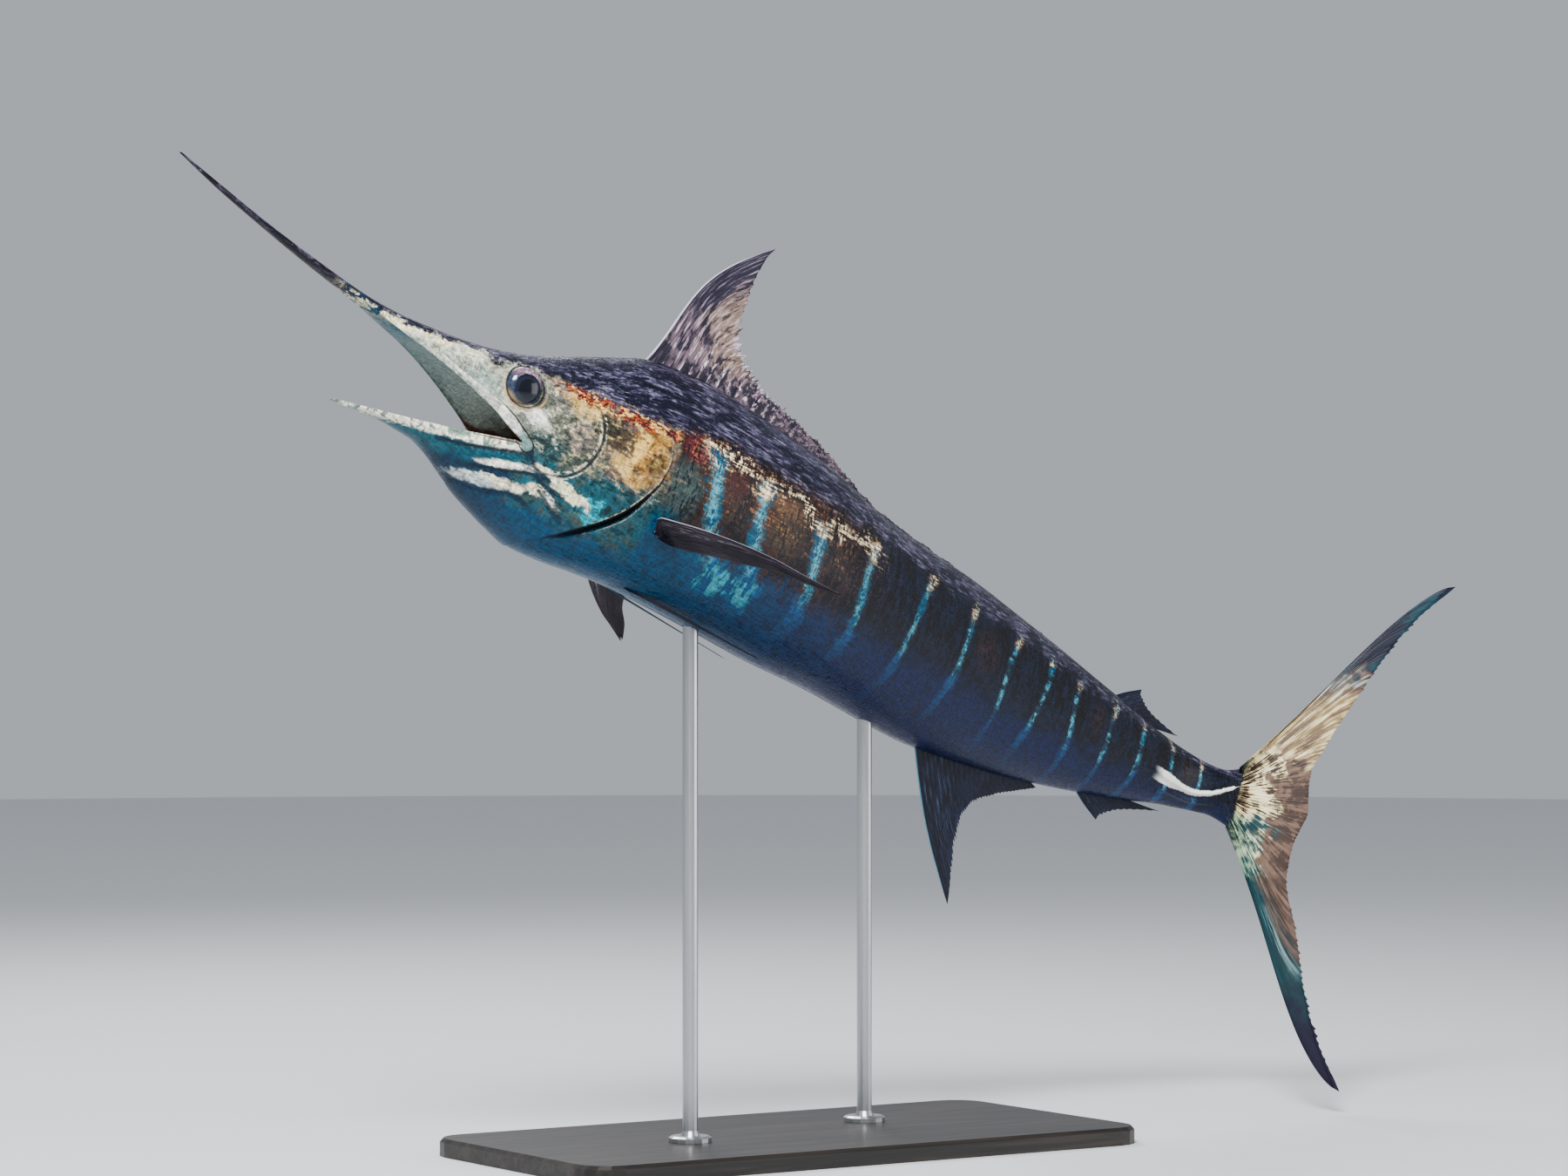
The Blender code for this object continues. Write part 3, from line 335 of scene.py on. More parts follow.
@dataclass
class Marks:
    """Lines and places on the side that the relief and the markings share."""

    cover_edge: Path = Path(
        (0.200, 0.0345), (0.226, 0.0350), (0.243, 0.0335), (0.2525, 0.025), (0.2548, 0.010), (0.2525, -0.006),
        (0.2465, -0.020), (0.237, -0.036), (0.226, -0.049), (0.214, -0.060), (0.204, -0.069), (0.196, -0.076))
    cheek_arc: Path = Path(
        (0.191, 0.024), (0.1975, 0.014), (0.2005, 0.001), (0.1985, -0.014), (0.1915, -0.027), (0.181, -0.035),
        (0.170, -0.0375))
    lip_bone: Path = Path((0.070, 0.0062), (0.09, 0.0008), (0.11, -0.0045), (0.13, -0.0122), (0.143, -0.0195),
                          (0.1515, -0.0248))
    upper_keel: Path = Path((0.842, -0.0080), (0.862, -0.0050), (0.885, -0.0065), (0.910, -0.0080),
                            (0.930, -0.0050), (0.953, 0.0060))
    lower_keel: Path = Path((0.866, -0.0135), (0.885, -0.0150), (0.910, -0.0150), (0.935, -0.0120),
                            (0.950, -0.0105))
    folds: tuple[Path, ...] = (
        Path((0.095, -0.0480), (0.112, -0.0446), (0.125, -0.0400), (0.141, -0.0346), (0.155, -0.0300)),
        Path((0.118, -0.0560), (0.140, -0.0501), (0.154, -0.0445), (0.166, -0.0412), (0.174, -0.0450),
             (0.184, -0.0475)),
        Path((0.115, -0.0660), (0.133, -0.0680), (0.148, -0.0640), (0.162, -0.0605), (0.176, -0.0640)),
        Path((0.174, -0.0500), (0.184, -0.0560), (0.196, -0.0625)),
        Path((0.1565, -0.0270), (0.160, -0.0330), (0.166, -0.0375), (0.176, -0.0400)))
    brow: Curve = Curve(
        [0.27, 0.308, 0.338, 0.355, 0.372, 0.393, 0.410, 0.445, 0.46, 0.50, 0.60, 0.95],
        [0.034, 0.0357, 0.0295, 0.032, 0.031, 0.022, 0.031, 0.033, 0.030, 0.033, 0.037, 0.020])
    crown: Curve = Curve(
        [-0.17, 0.0, 0.03, 0.06, 0.09, 0.12, 0.15, 0.20, 0.25, 0.28, 0.45, 0.70, 0.95],
        [0.0300, 0.0140, 0.0132, 0.0175, 0.0232, 0.0280, 0.0325, 0.0345, 0.0370, 0.045, 0.046, 0.040, 0.016])
    waist: Curve = Curve([0.10, 0.25, 0.30, 0.40, 0.50, 0.60, 0.70, 0.80, 0.90, 1.0],
                         [-0.030, -0.026, -0.032, -0.030, -0.026, -0.021, -0.017, -0.014, -0.012, -0.012])
    bar_levels: tuple[float, ...] = (-0.05, -0.02, 0.01, 0.03, 0.05)
    bars: tuple[tuple[float, ...], ...] = (  # half-width, then the stations at the levels
        (0.0074, 0.326, 0.303, 0.2955, 0.292, 0.286), (0.0066, 0.3555, 0.344, 0.338, 0.336, 0.333),
        (0.0054, 0.404, 0.400, 0.3955, 0.3945, 0.392), (0.0046, 0.458, 0.455, 0.4505, 0.454, 0.461),
        (0.0036, 0.520, 0.520, 0.523, 0.529, 0.545), (0.0031, 0.589, 0.590, 0.591, 0.595, 0.602),
        (0.0030, 0.657, 0.655, 0.652, 0.659, 0.672), (0.0029, 0.699, 0.701, 0.706, 0.710, 0.716),
        (0.0029, 0.754, 0.751, 0.746, 0.750, 0.764), (0.0028, 0.795, 0.795, 0.796, 0.803, 0.815),
        (0.0026, 0.838, 0.838, 0.839, 0.842, 0.845), (0.0024, 0.880, 0.880, 0.880, 0.881, 0.882),
        (0.0022, 0.918, 0.918, 0.918, 0.919, 0.920))

    def bar_fields(self, s: Array, z: Array) -> tuple[Array, Array]:
        """The nearest bar across the flank.

        Args:
            s: stations.
            z: heights.

        Returns:
            Distance from its middle in its own half-widths, and its number.
        """
        best, number = np.full(s.shape, 9.0), np.zeros(s.shape)
        for i, (half, *stations) in enumerate(self.bars):
            gap = np.abs(s - Curve(self.bar_levels, stations)(z)) / half
            closer = gap < best
            best, number = np.where(closer, gap, best), np.where(closer, i, number)
        return best, number

    def face_lines(self, s: Array, z: Array) -> list[Array]:
        """Distances from the drawn lines of the face.

        Args:
            s: stations of the points.
            z: heights of the points.

        Returns:
            Distances outside the lip bone's plate, from the cheek's arc (positive outside) and from the
            nearest throat fold or upper keel.
        """
        gap, along = self.lip_bone.measure(s, z)
        bone = np.abs(gap) - self.bone_half(along)
        arc, along = self.cheek_arc.measure(s, z)
        arc = np.where((along < 0.001) | (along > 0.999), 0.02, arc)
        fold = np.full(s.shape, 0.05)
        for path in (*self.folds, self.upper_keel):
            gap, _ = path.measure(s, z)
            fold = np.where(np.abs(gap) < np.abs(fold), gap, fold)
        return [bone, arc, fold]

    @staticmethod
    def bone_half(along: Array) -> Array:
        """Half-width of the lip bone's plate along it."""
        return 0.0010 + 0.0030 * ease(along, 0.05, 0.80)


@dataclass
class Relief:
    """How far the skin stands out from the plain form, in metres."""

    marks: Marks
    eye_radius: float = 0.0146
    slit_width: Curve = Curve([0.0, 0.35, 0.55, 0.72, 0.86, 1.0],
                              [0.0010, 0.0012, 0.0030, 0.0075, 0.0070, 0.0012])
    slit_depth: Curve = Curve([0.0, 0.35, 0.55, 0.72, 0.88, 1.0],
                              [0.0004, 0.0014, 0.0050, 0.0120, 0.0100, 0.0004])
    groove_aside: float = 3.2 * MILLIMETRE
    groove_half: float = 2.0 * MILLIMETRE
    nostrils: tuple[tuple[float, ...], ...] = ((0.1045, 0.0225, 0.0012), (0.1100, 0.0240, 0.0015))

    def outside(self, s: Array, y: Array, z: Array) -> Array:
        """Offset of points on the outer skin along its normal.

        Args:
            s: stations.
            y: places across.
            z: heights.

        Returns:
            Offsets in metres, outward positive.
        """
        rise = np.zeros(s.shape)
        gap, along = self.marks.cover_edge.measure(s, z)
        cover = ease(-gap, -0.0002, 0.0012) * ease(-gap, 0.035, 0.010)
        rise += 0.0030 * cover * ease(s, 0.10, 0.16) * ease(along, 0.0, 0.12)
        rise += 0.0008 * ease(-gap, 0.0, 0.001) * ease(-gap, 0.0035, 0.0016) * ease(along, 0.15, 0.3)
        hollow = ease(gap, -0.0004, 0.0008) * ease(gap / self.slit_width(along), 1.0, 0.35)
        rise -= self.slit_depth(along) * hollow * (along < 0.999)
        gap, along = self.marks.cheek_arc.measure(s, z)
        rise -= 0.0010 * hump(gap, 0.0008) * ease(along, 0, 0.08) * ease(along, 1, 0.9)
        rise += 0.0007 * hump(gap + 0.0018, 0.0010)
        gap, along = self.marks.lip_bone.measure(s, z)
        out = np.abs(gap) - self.marks.bone_half(along)
        rise += 0.0016 * ease(out, 0.0004, -0.0008) * ease(along, 0, 0.2)
        rise -= 0.0007 * hump(out - 0.0010, 0.0007) * ease(along, 0.35, 0.8)
        for path in self.marks.folds:
            gap, along = path.measure(s, z)
            fold = 0.0016 * hump(gap - 0.0030, 0.0022) - 0.0022 * hump(gap, 0.0011)
            rise += fold * ease(along, 0, 0.15) * ease(along, 1, 0.8)
        keels = ((self.marks.upper_keel, 0.0085, 0.0021), (self.marks.lower_keel, 0.0060, 0.0017))
        for path, tall, broad in keels:
            gap, along = path.measure(s, z)
            swell = np.sin(np.pi * np.clip(0.03 + 0.94 * along, 0, 1)) ** 0.7
            rise += tall * swell * hump(np.abs(gap), broad * (0.5 + 0.5 * swell), 1.6) * (s > 0.8)
        away = np.hypot(s - EYE[0], z - EYE[2])
        rise -= 0.0120 * ease(away, self.eye_radius * 1.02, self.eye_radius * 0.80)
        rise += 0.0012 * hump(away - self.eye_radius * 1.13, 0.0012)
        for at, level, size in self.nostrils:
            away = np.hypot((s - at) * 0.8, z - level)
            rise += 0.0005 * hump(away - size * 1.6, 0.0006) - 0.0030 * ease(away, size * 1.2, size * 0.5)
        groove = hump(np.abs(np.abs(y) - self.groove_aside), self.groove_half)
        return rise + 0.0016 * groove * (z > 0) * ease(s, 0.236, 0.25) * ease(s, 0.76, 0.70)


def mesh_from(name: str, points: Array, faces: Array, **fields: Array) -> Mesh:
    """Smooth mesh with vector attributes on its points.

    Args:
        name: the mesh's name.
        points: world points.
        faces: rows of point numbers, all of the same length.
        fields: values of each attribute, by its name.

    Returns:
        The mesh.
    """
    mesh = bpy.data.meshes.new(name)
    sides = faces.shape[1]
    mesh.vertices.add(len(points))
    mesh.vertices.foreach_set("co", np.asarray(points, np.float32).ravel())
    mesh.loops.add(faces.size)
    mesh.loops.foreach_set("vertex_index", faces.ravel().astype(np.int32))
    mesh.polygons.add(len(faces))
    mesh.polygons.foreach_set("loop_start", np.arange(0, faces.size, sides, dtype=np.int32))
    mesh.polygons.foreach_set("loop_total", np.full(len(faces), sides, np.int32))
    mesh.update(calc_edges=True)
    mesh.validate()
    mesh.shade_smooth()
    for key, values in fields.items():
        made = mesh.attributes.new(key, "FLOAT_VECTOR", "POINT")
        made.data.foreach_set("vector", np.asarray(values, np.float32).ravel())
    return mesh


def add(name: str, mesh: Mesh, finish: Material, slot: str, *nodes: str) -> None:
    """Puts a mesh in the scene with its finish, riding on the body in place of some nodes.

    Args:
        name: the piece's name.
        mesh: its mesh.
        finish: its material.
        slot: its slot of the frame; not used.
        nodes: the nodes that it replaces.
    """
    piece = bpy.data.objects.new(name, mesh)
    bpy.context.scene.collection.objects.link(piece)
    mesh.materials.append(finish)
    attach(piece, BODY)
    if nodes:
        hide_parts(*nodes)
    log.info("%s: %d points, %d faces", name, len(mesh.vertices), len(mesh.polygons))


class Wire:
    """A shader socket that takes part in arithmetic."""

    def __init__(self, net: "Network", socket: bpy.types.NodeSocket) -> None:
        """Wraps a socket of a network."""
        self.net, self.socket = net, socket

    def __add__(self, other: Any) -> "Wire":
        """Sum."""
        return self.net.math("ADD", self, other)

    __radd__ = __add__

    def __sub__(self, other: Any) -> "Wire":
        """Difference."""
        return self.net.math("SUBTRACT", self, other)

    def __rsub__(self, other: Any) -> "Wire":
        """Difference from a number."""
        return self.net.math("SUBTRACT", other, self)

    def __mul__(self, other: Any) -> "Wire":
        """Product."""
        return self.net.math("MULTIPLY", self, other)

    def __truediv__(self, other: Any) -> "Wire":
        """Quotient."""
        return self.net.math("DIVIDE", self, other)

    def __abs__(self) -> "Wire":
        """Size without the sign."""
        return self.net.math("ABSOLUTE", self)

    def swing(self, by: float) -> "Wire":
        """A noise taken round zero."""
        return (self - 0.5) * by

    def step(self, low: float, high: float) -> "Wire":
        """0 at low, 1 at high and smooth between; low may be over high."""
        return self.net.node("MapRange", {"interpolation_type": "SMOOTHSTEP", "clamp": True},
                             {"Value": self, "From Min": low, "From Max": high, "To Min": 0.0, "To Max": 1.0})

    def band(self, low: float, high: float, soft: float) -> "Wire":
        """1 between low and high, 0 outside, with soft edges."""
        return self.step(low - soft, low + soft) * self.step(high + soft, high - soft)

    def parts(self) -> tuple["Wire", "Wire", "Wire"]:
        """The three parts of a vector.

        Returns:
            Wires of the first, second and third.
        """
        first = self.net.node("SeparateXYZ", None, {0: self})
        outputs = first.socket.node.outputs
        return first, Wire(self.net, outputs[1]), Wire(self.net, outputs[2])

    def noise(self, by: tuple[float, float, float], detail: float, rough: float = 0.55,
              twist: float = 0.0) -> "Wire":
        """Cloudy values round one half, drawn out differently along each axis of a vector.

        Args:
            by: how fine it is along each axis.
            detail: number of its layers.
            rough: strength of the finer layers.
            twist: how far it is distorted.

        Returns:
            The noise.
        """
        place = self.net.node("VectorMath", {"operation": "MULTIPLY"}, {0: self, 1: by})
        return self.net.node("TexNoise", None, {"Vector": place, "Scale": 1.0, "Detail": detail,
                                                "Roughness": rough, "Distortion": twist})

    def blot(self, x: float, y: float, z: float, detail: float = 4.0, twist: float = 0.3) -> "Wire":
        """Noise spread over 0 to 1."""
        return self.noise((x, y, z), detail, 0.64, twist).step(0.35, 0.65)

    def shade(self, factor: "Wire") -> "Wire":
        """Colour made darker or lighter by a factor."""
        return self.net.node("VectorMath", {"operation": "SCALE"}, {0: self, "Scale": factor})


Layer = tuple[Wire, Any]


class Network:
    """The nodes of one material."""

    def __init__(self, name: str) -> None:
        """Starts a material with a Principled shader.

        Args:
            name: the material's name.
        """
        self.material = bpy.data.materials.new(name)
        self.material.use_nodes = True
        self.tree = self.material.node_tree
        self.shader = self.tree.nodes["Principled BSDF"]

    def node(self, kind: str, settings: dict[str, Any] | None = None, inputs: dict[Any, Any] | None = None,
             output: Any = 0) -> Wire:
        """Adds a node.

        Args:
            kind: the node's type without its "ShaderNode".
            settings: its properties, set before its sockets.
            inputs: values or wires for its sockets, by name or number.
            output: name or number of the output to return.

        Returns:
            The output, ready for arithmetic.
        """
        made = self.tree.nodes.new("ShaderNode" + kind)
        for key, value in (settings or {}).items():
            setattr(made, key, value)
        for key, value in (inputs or {}).items():
            self.feed(made.inputs[key], value)
        return Wire(self, made.outputs[output])

    def feed(self, socket: bpy.types.NodeSocket, value: Any) -> None:
        """Links a wire to a socket, or sets the socket's value.

        Args:
            socket: an input.
            value: a wire, a number or a colour.
        """
        if isinstance(value, Wire):
            self.tree.links.new(value.socket, socket)
        elif isinstance(value, tuple) and socket.type == "RGBA":
            socket.default_value = (*value, 1.0)
        else:
            socket.default_value = value

    def math(self, operation: str, a: Any, b: Any = 0.0) -> Wire:
        """One step of arithmetic on values."""
        return self.node("Math", {"operation": operation}, {0: a, 1: b})

    def length(self, a: Wire, b: Wire) -> Wire:
        """Distance from the origin of a flat place."""
        return self.math("SQRT", a * a + b * b)

    def attribute(self, name: str) -> Wire:
        """A vector that the mesh carries."""
        return self.node("Attribute", {"attribute_name": name}, output="Vector")

    def paint(self, base: Any, *layers: Layer) -> Any:
        """A colour under layers, each a mask and the colour that it brings.

        Args:
            base: the lowest colour.
            layers: from the lowest to the highest.

        Returns:
            The colour seen.
        """
        for mask, top in layers:
            base = self.node("Mix", {"data_type": "RGBA", "clamp_factor": True},
                             {0: mask, 6: base, 7: top}, 2)
        return base

    def bump(self, height: Wire, depth: float, strength: float = 0.5) -> Wire:
        """Normal from a height; depth is in metres."""
        return self.node("Bump", None, {"Height": height, "Distance": depth, "Strength": strength}, "Normal")

    def finish(self, **sockets: Any) -> Material:
        """Feeds the shader's sockets and hands over the material.

        Args:
            sockets: values or wires, by names with underscores for spaces.

        Returns:
            The material.
        """
        for key, value in sockets.items():
            self.feed(self.shader.inputs[key.replace("_", " ")], value)
        return self.material


@dataclass(frozen=True)
class Patch:
    """A soft-edged area of colour on the side of the head or body."""

    s: float
    z: float
    long: float
    tall: float
    colour: Colour
    strength: float
    ragged: float
    slope: float = 0.0

    def layer(self, s: Wire, z: Wire, noise: Wire) -> Layer:
        """The patch as a layer of paint, with its edge made ragged by a noise.

        Args:
            s: stations.
            z: heights.
            noise: what makes the edge ragged.

        Returns:
            The mask and the colour.
        """
        across = (s - self.s) / self.long
        up = (z - self.z - (s - self.s) * self.slope) / self.tall
        return (across * across + up * up + noise * self.ragged).step(1.3, 0.35) * self.strength, self.colour


class SkinFinish:
    """Wet living skin: slate back, copper flank with blue bars, belly in painted blue shade, gold gill cover;
    painted highlights on head, flank and keel.
    """

    soot: Colour = (0.003, 0.003, 0.008)
    glint_highlight: Colour = (1.0, 0.86, 0.58)
    amber_highlight: Colour = (0.40, 0.19, 0.060)
    # The belly's blues are painted shade and painted water light on the underside.
    shaded_belly_front: Colour = (0.004, 0.070, 0.150)
    teal: Colour = (0.012, 0.110, 0.150)
    deep_teal: Colour = (0.003, 0.035, 0.080)
    # Of the face's patches, the white, off-white and bright gold ones are painted highlights on the wet head,
    # and the last is painted shade in the nostril's pit.
    face: tuple[Patch, ...] = tuple(Patch(*row) for row in (
        (0.228, 0.008, 0.034, 0.032, (0.175, 0.115, 0.095), 1.0, 0.7),
        (0.238, 0.009, 0.018, 0.022, (0.50, 0.26, 0.060), 0.95, 1.0),
        (0.186, -0.008, 0.018, 0.020, (0.085, 0.100, 0.078), 0.85, 1.6),
        (0.165, 0.019, 0.014, 0.010, (0.17, 0.17, 0.15), 0.9, 1.2),
        (0.164, -0.018, 0.014, 0.010, (0.030, 0.085, 0.090), 0.85, 1.6),
        (0.148, -0.0020, 0.014, 0.0070, (1.0, 0.99, 0.92), 1.0, 0.6, -0.25),
        (0.180, 0.021, 0.016, 0.010, (0.66, 0.46, 0.17), 1.0, 1.2),
        (0.186, 0.000, 0.011, 0.013, (0.20, 0.175, 0.165), 0.8, 0.9),
        (0.204, 0.013, 0.012, 0.012, (0.060, 0.058, 0.034), 0.95, 1.2),
        (0.216, 0.007, 0.012, 0.010, (0.11, 0.080, 0.045), 0.9, 1.2),
        (0.2295, 0.013, 0.006, 0.013, (0.85, 0.57, 0.18), 1.0, 1.5, 1.2),
        (0.2435, 0.003, 0.0085, 0.0095, (0.20, 0.13, 0.050), 0.9, 0.8),
        (0.219, -0.006, 0.009, 0.006, (0.66, 0.44, 0.15), 0.95, 1.5),
        (0.234, -0.013, 0.010, 0.006, (0.62, 0.38, 0.13), 0.9, 1.5),
        (0.222, -0.036, 0.028, 0.016, (0.014, 0.095, 0.125), 1.0, 0.5),
        (0.212, -0.047, 0.012, 0.011, (0.03, 0.46, 0.58), 0.95, 1.6),
        (0.174, -0.0360, 0.014, 0.0034, (1.0, 0.93, 0.72), 1.0, 1.2, -0.15),
        (0.196, -0.0430, 0.018, 0.0050, (1.0, 0.93, 0.66), 1.0, 1.5, -0.20),
        (0.183, -0.0520, 0.010, 0.0042, (0.80, 0.84, 0.78), 1.0, 1.5, -0.55),
        (0.1730, -0.0500, 0.007, 0.0046, (1.0, 0.93, 0.70), 1.0, 1.5),
        (0.146, -0.0430, 0.021, 0.0034, (1.0, 0.97, 0.86), 0.95, 0.7, 0.28),
        (0.138, -0.0592, 0.028, 0.0046, (0.78, 0.85, 0.80), 0.9, 0.8, 0.20),
        (0.150, -0.0560, 0.018, 0.0040, (1.0, 0.93, 0.70), 0.9, 1.4, 0.10),
        # painted shade in the nostril's pit
        (0.1085, 0.0222, 0.0060, 0.0036, (0.003, 0.003, 0.005), 1.0, 0.1, 0.2)))
    side: tuple[Patch, ...] = tuple(Patch(*row) for row in (
        (0.271, -0.004, 0.018, 0.026, (0.060, 0.100, 0.100), 0.95, 1.2),
        (0.258, -0.036, 0.024, 0.018, (0.008, 0.125, 0.170), 0.95, 1.2),
        (0.275, 0.031, 0.015, 0.013, (0.135, 0.022, 0.030), 1.0, 1.2),
        (0.313, 0.018, 0.013, 0.015, (0.070, 0.018, 0.020), 1.0, 2.0),
        (0.318, -0.002, 0.012, 0.016, (0.045, 0.024, 0.020), 0.9, 1.6),
        (0.364, 0.006, 0.017, 0.026, (0.070, 0.042, 0.022), 0.95, 2.4),
        (0.358, 0.022, 0.018, 0.009, (0.18, 0.090, 0.044), 0.95, 2.6),
        (0.424, 0.020, 0.013, 0.013, (0.060, 0.032, 0.022), 0.9, 2.6),
        (0.620, 0.012, 0.018, 0.018, (0.045, 0.022, 0.028), 0.7, 2.6),
        (0.780, 0.012, 0.013, 0.014, (0.042, 0.022, 0.032), 0.6, 3.0),
        (0.905, 0.008, 0.015, 0.012, (0.050, 0.034, 0.034), 0.6, 3.0)))

    def __init__(self) -> None:
        """Reads what the mesh carries, and makes the noises that all parts share."""
        net = self.net = Network("skin_wet")
        own = self.own = net.attribute("own")
        self.s, _, self.z = own.parts()
        self.crown, self.waist, _ = net.attribute("lay").parts()
        self.bar, self.number, self.brow = net.attribute("bars").parts()
        self.inside, self.mouth, self.slit = net.attribute("face").parts()
        self.bone, self.arc, self.fold = net.attribute("lines").parts()
        self.tone = net.attribute("tone").parts()[0]
        self.cloud = own.blot(60, 60, 60)
        self.fine = own.blot(320, 320, 320, 3)
        self.upright = own.blot(170, 40, 40)
        self.fibre = own.blot(520, 200, 200, 3)
        self.strokes = own.blot(95, 600, 600, 3)

    def dress(self) -> Material:
        """Lays back, belly, head and mouth over the flank, and a painted highlight on the keel over all.

        Returns:
            The material.
        """
        net, s, z, cloud, fine, upright = self.net, self.s, self.z, self.cloud, self.fine, self.upright
        fibre, strokes = self.fibre, self.strokes
        wobble = cloud.swing(0.0065) + fine.swing(0.0025)
        back = self.back()
        gum = s.step(0.112, 0.128) * (z + cloud.swing(0.002)).step(-0.0110, -0.0145)
        # The roof turns grey-green and lighter towards the back of the mouth: partly its own colour, partly
        # painted light against the shade inside.
        roof = net.paint(self.teal, ((s + cloud.swing(0.01)).step(0.02, 0.085), (0.20, 0.27, 0.25)),
                         (s.step(0.075, 0.135) * 0.8, (0.46, 0.54, 0.48)), (gum, (0.15, 0.070, 0.052)))
        # The near-black laid in the gill slit is painted shade.
        colour = net.paint(
            self.flank(), ((self.crown + wobble + upright.swing(0.004)).step(-0.007, 0.006), back),
            ((self.waist + wobble + upright.swing(0.010)).step(0.008, -0.014), self.belly()),
            (s.step(0.262, 0.2535), self.head(back)), (self.mouth, roof), (self.slit, (0.002, 0.003, 0.008)))
        # The white on the upper keel's ridge is a painted highlight.
        keel = abs(self.fold) + fibre.swing(0.0008)
        keel = keel - 0.0054 + s.step(0.878, 0.902) * 0.0026 + s.step(0.90, 0.97) * 0.0018
        keel_highlight = keel.step(0.0006, -0.0006) * s.step(0.860, 0.875) * s.step(1.005, 0.985)
        lit = 0.42 + strokes * 0.38 + fibre * 0.40 + self.tone.swing(0.30)
        return net.finish(Base_Color=net.paint(colour.shade(lit), (keel_highlight, (1.0, 0.99, 0.94))),
                          Roughness=0.34 + fine.swing(0.12) + self.mouth * 0.12 + strokes.swing(0.10),
                          Specular_IOR_Level=0.34, Coat_Weight=0.15, Coat_Roughness=0.10,
                          Normal=net.bump(strokes + fibre * 0.7, 0.0010))

    def back(self) -> Wire:
        """Slate and violet with lilac strokes that run along the body.

        Returns:
            The colour.
        """
        broad = self.own.blot(34, 120, 120)
        light = self.strokes * 0.55 + broad * 0.30 + self.tone * 0.25 + self.cloud * 0.15
        return self.net.paint((0.008, 0.009, 0.026),
                              ((broad * 0.7 + self.strokes * 0.3).step(0.30, 0.75), (0.046, 0.040, 0.086)),
                              (light.step(0.66, 1.10) * 0.58, (0.29, 0.275, 0.38)))

    def belly(self) -> Wire:
        """Teal in front to deep navy behind, with the bars' faint ends; these blues are painted shade and
        painted water light on the underside.

        Returns:
            The colour.
        """
        bar, cloud, upright, waist = abs(self.bar), self.cloud, self.upright, self.waist
        faded = (bar + upright.swing(1.0) + cloud.swing(0.8)).step(1.9, 0.6) * waist.step(-0.050, -0.004)
        pale = (bar + cloud.swing(1.8)).step(2.4, 0.9)
        pale = pale * (waist + upright.swing(0.006)).band(-0.027, -0.007, 0.003)
        pale = pale * self.s.band(0.306, 0.362, 0.006) * upright.step(0.25, 0.60)
        return self.net.paint(self.shaded_belly_front,
                              ((self.s + cloud.swing(0.04)).step(0.22, 0.52), (0.006, 0.016, 0.080)),
                              (faded * 0.5, (0.008, 0.12, 0.30)), (pale * 0.85, (0.06, 0.36, 0.43)))

    def flank(self) -> Wire:
        """Copper and soot in upright streaks with orange-gold painted highlights high on the front, and the
        bars, with fibrous painted highlights over their heads along the brow line.

        Returns:
            The colour.
        """
        net, s, z, brow, cloud, upright = self.net, self.s, self.z, self.brow, self.cloud, self.upright
        fibre, tone = self.fibre, self.tone
        streaks = upright * 0.6 + fibre * 0.4
        front = (s + cloud.swing(0.03)).step(0.50, 0.38)
        high = (z + cloud.swing(0.012)).step(-0.014, 0.012)
        ragged = upright.swing(0.55) + fibre.swing(0.35)
        flank_glint_noise = self.strokes * 0.35 + fibre * 0.35 + tone * 0.30
        dusk = net.paint((0.006, 0.014, 0.040), (front, (0.045, 0.018, 0.014)))
        colour = net.paint(
            self.soot, (streaks.step(0.30, 0.75), dusk),
            ((streaks * 0.6 + cloud * 0.4).step(0.52, 0.80) * front * high * 0.85, (0.072, 0.028, 0.019)),
            *(patch.layer(s, z, ragged) for patch in self.side), (streaks.step(0.54, 0.20) * 0.85, self.soot),
            # orange-gold spots high on the front flank: painted highlights
            ((flank_glint_noise + cloud.swing(0.2)).step(0.66, 0.84) * front * high * 0.45, self.amber_highlight))
        dotted = self.number.step(3.5, 6.0)
        beads = self.own.blot(40, 40, 130, 2).step(0.30, 0.62)
        edge = abs(self.bar) + fibre.swing(0.9) + upright.swing(0.8) + cloud.swing(0.6)
        mask = edge.step(1.35, 0.35) * (1.0 - dotted * (1.0 - beads) * 0.85)
        mask = mask * (1.0 - (brow + upright.swing(0.006)).step(-0.001, 0.006) * (1.0 - dotted))
        bright = (streaks * 0.75 + tone * 0.25 + cloud.swing(0.35) + dotted * 0.12).step(0.38, 0.76)
        # Off-white and orange-gold flecks along the brow line and over the bars' heads are painted highlights.
        gap = abs(brow + cloud.swing(0.010) + upright.swing(0.004))
        lively = flank_glint_noise + cloud.swing(0.25)
        bar_head_glint = gap.step(0.0100, 0.001) * edge.step(2.2, 0.4) * lively.step(0.28, 0.60)
        run = gap.step(0.0105, 0.001) * s.step(0.475, 0.455) * s.step(0.276, 0.290)
        run = run * lively.step(0.42, 0.72) * (1.0 - s.step(0.385, 0.41) * 0.35)
        warm = net.paint(self.amber_highlight, ((lively - gap * 22.0).step(0.40, 0.64), self.glint_highlight))
        blue = net.paint((0.005, 0.105, 0.190), (bright, (0.16, 0.56, 0.68)))
        return net.paint(colour, (mask * 0.95, blue),
                         (net.math("MAXIMUM", bar_head_glint, run), warm))

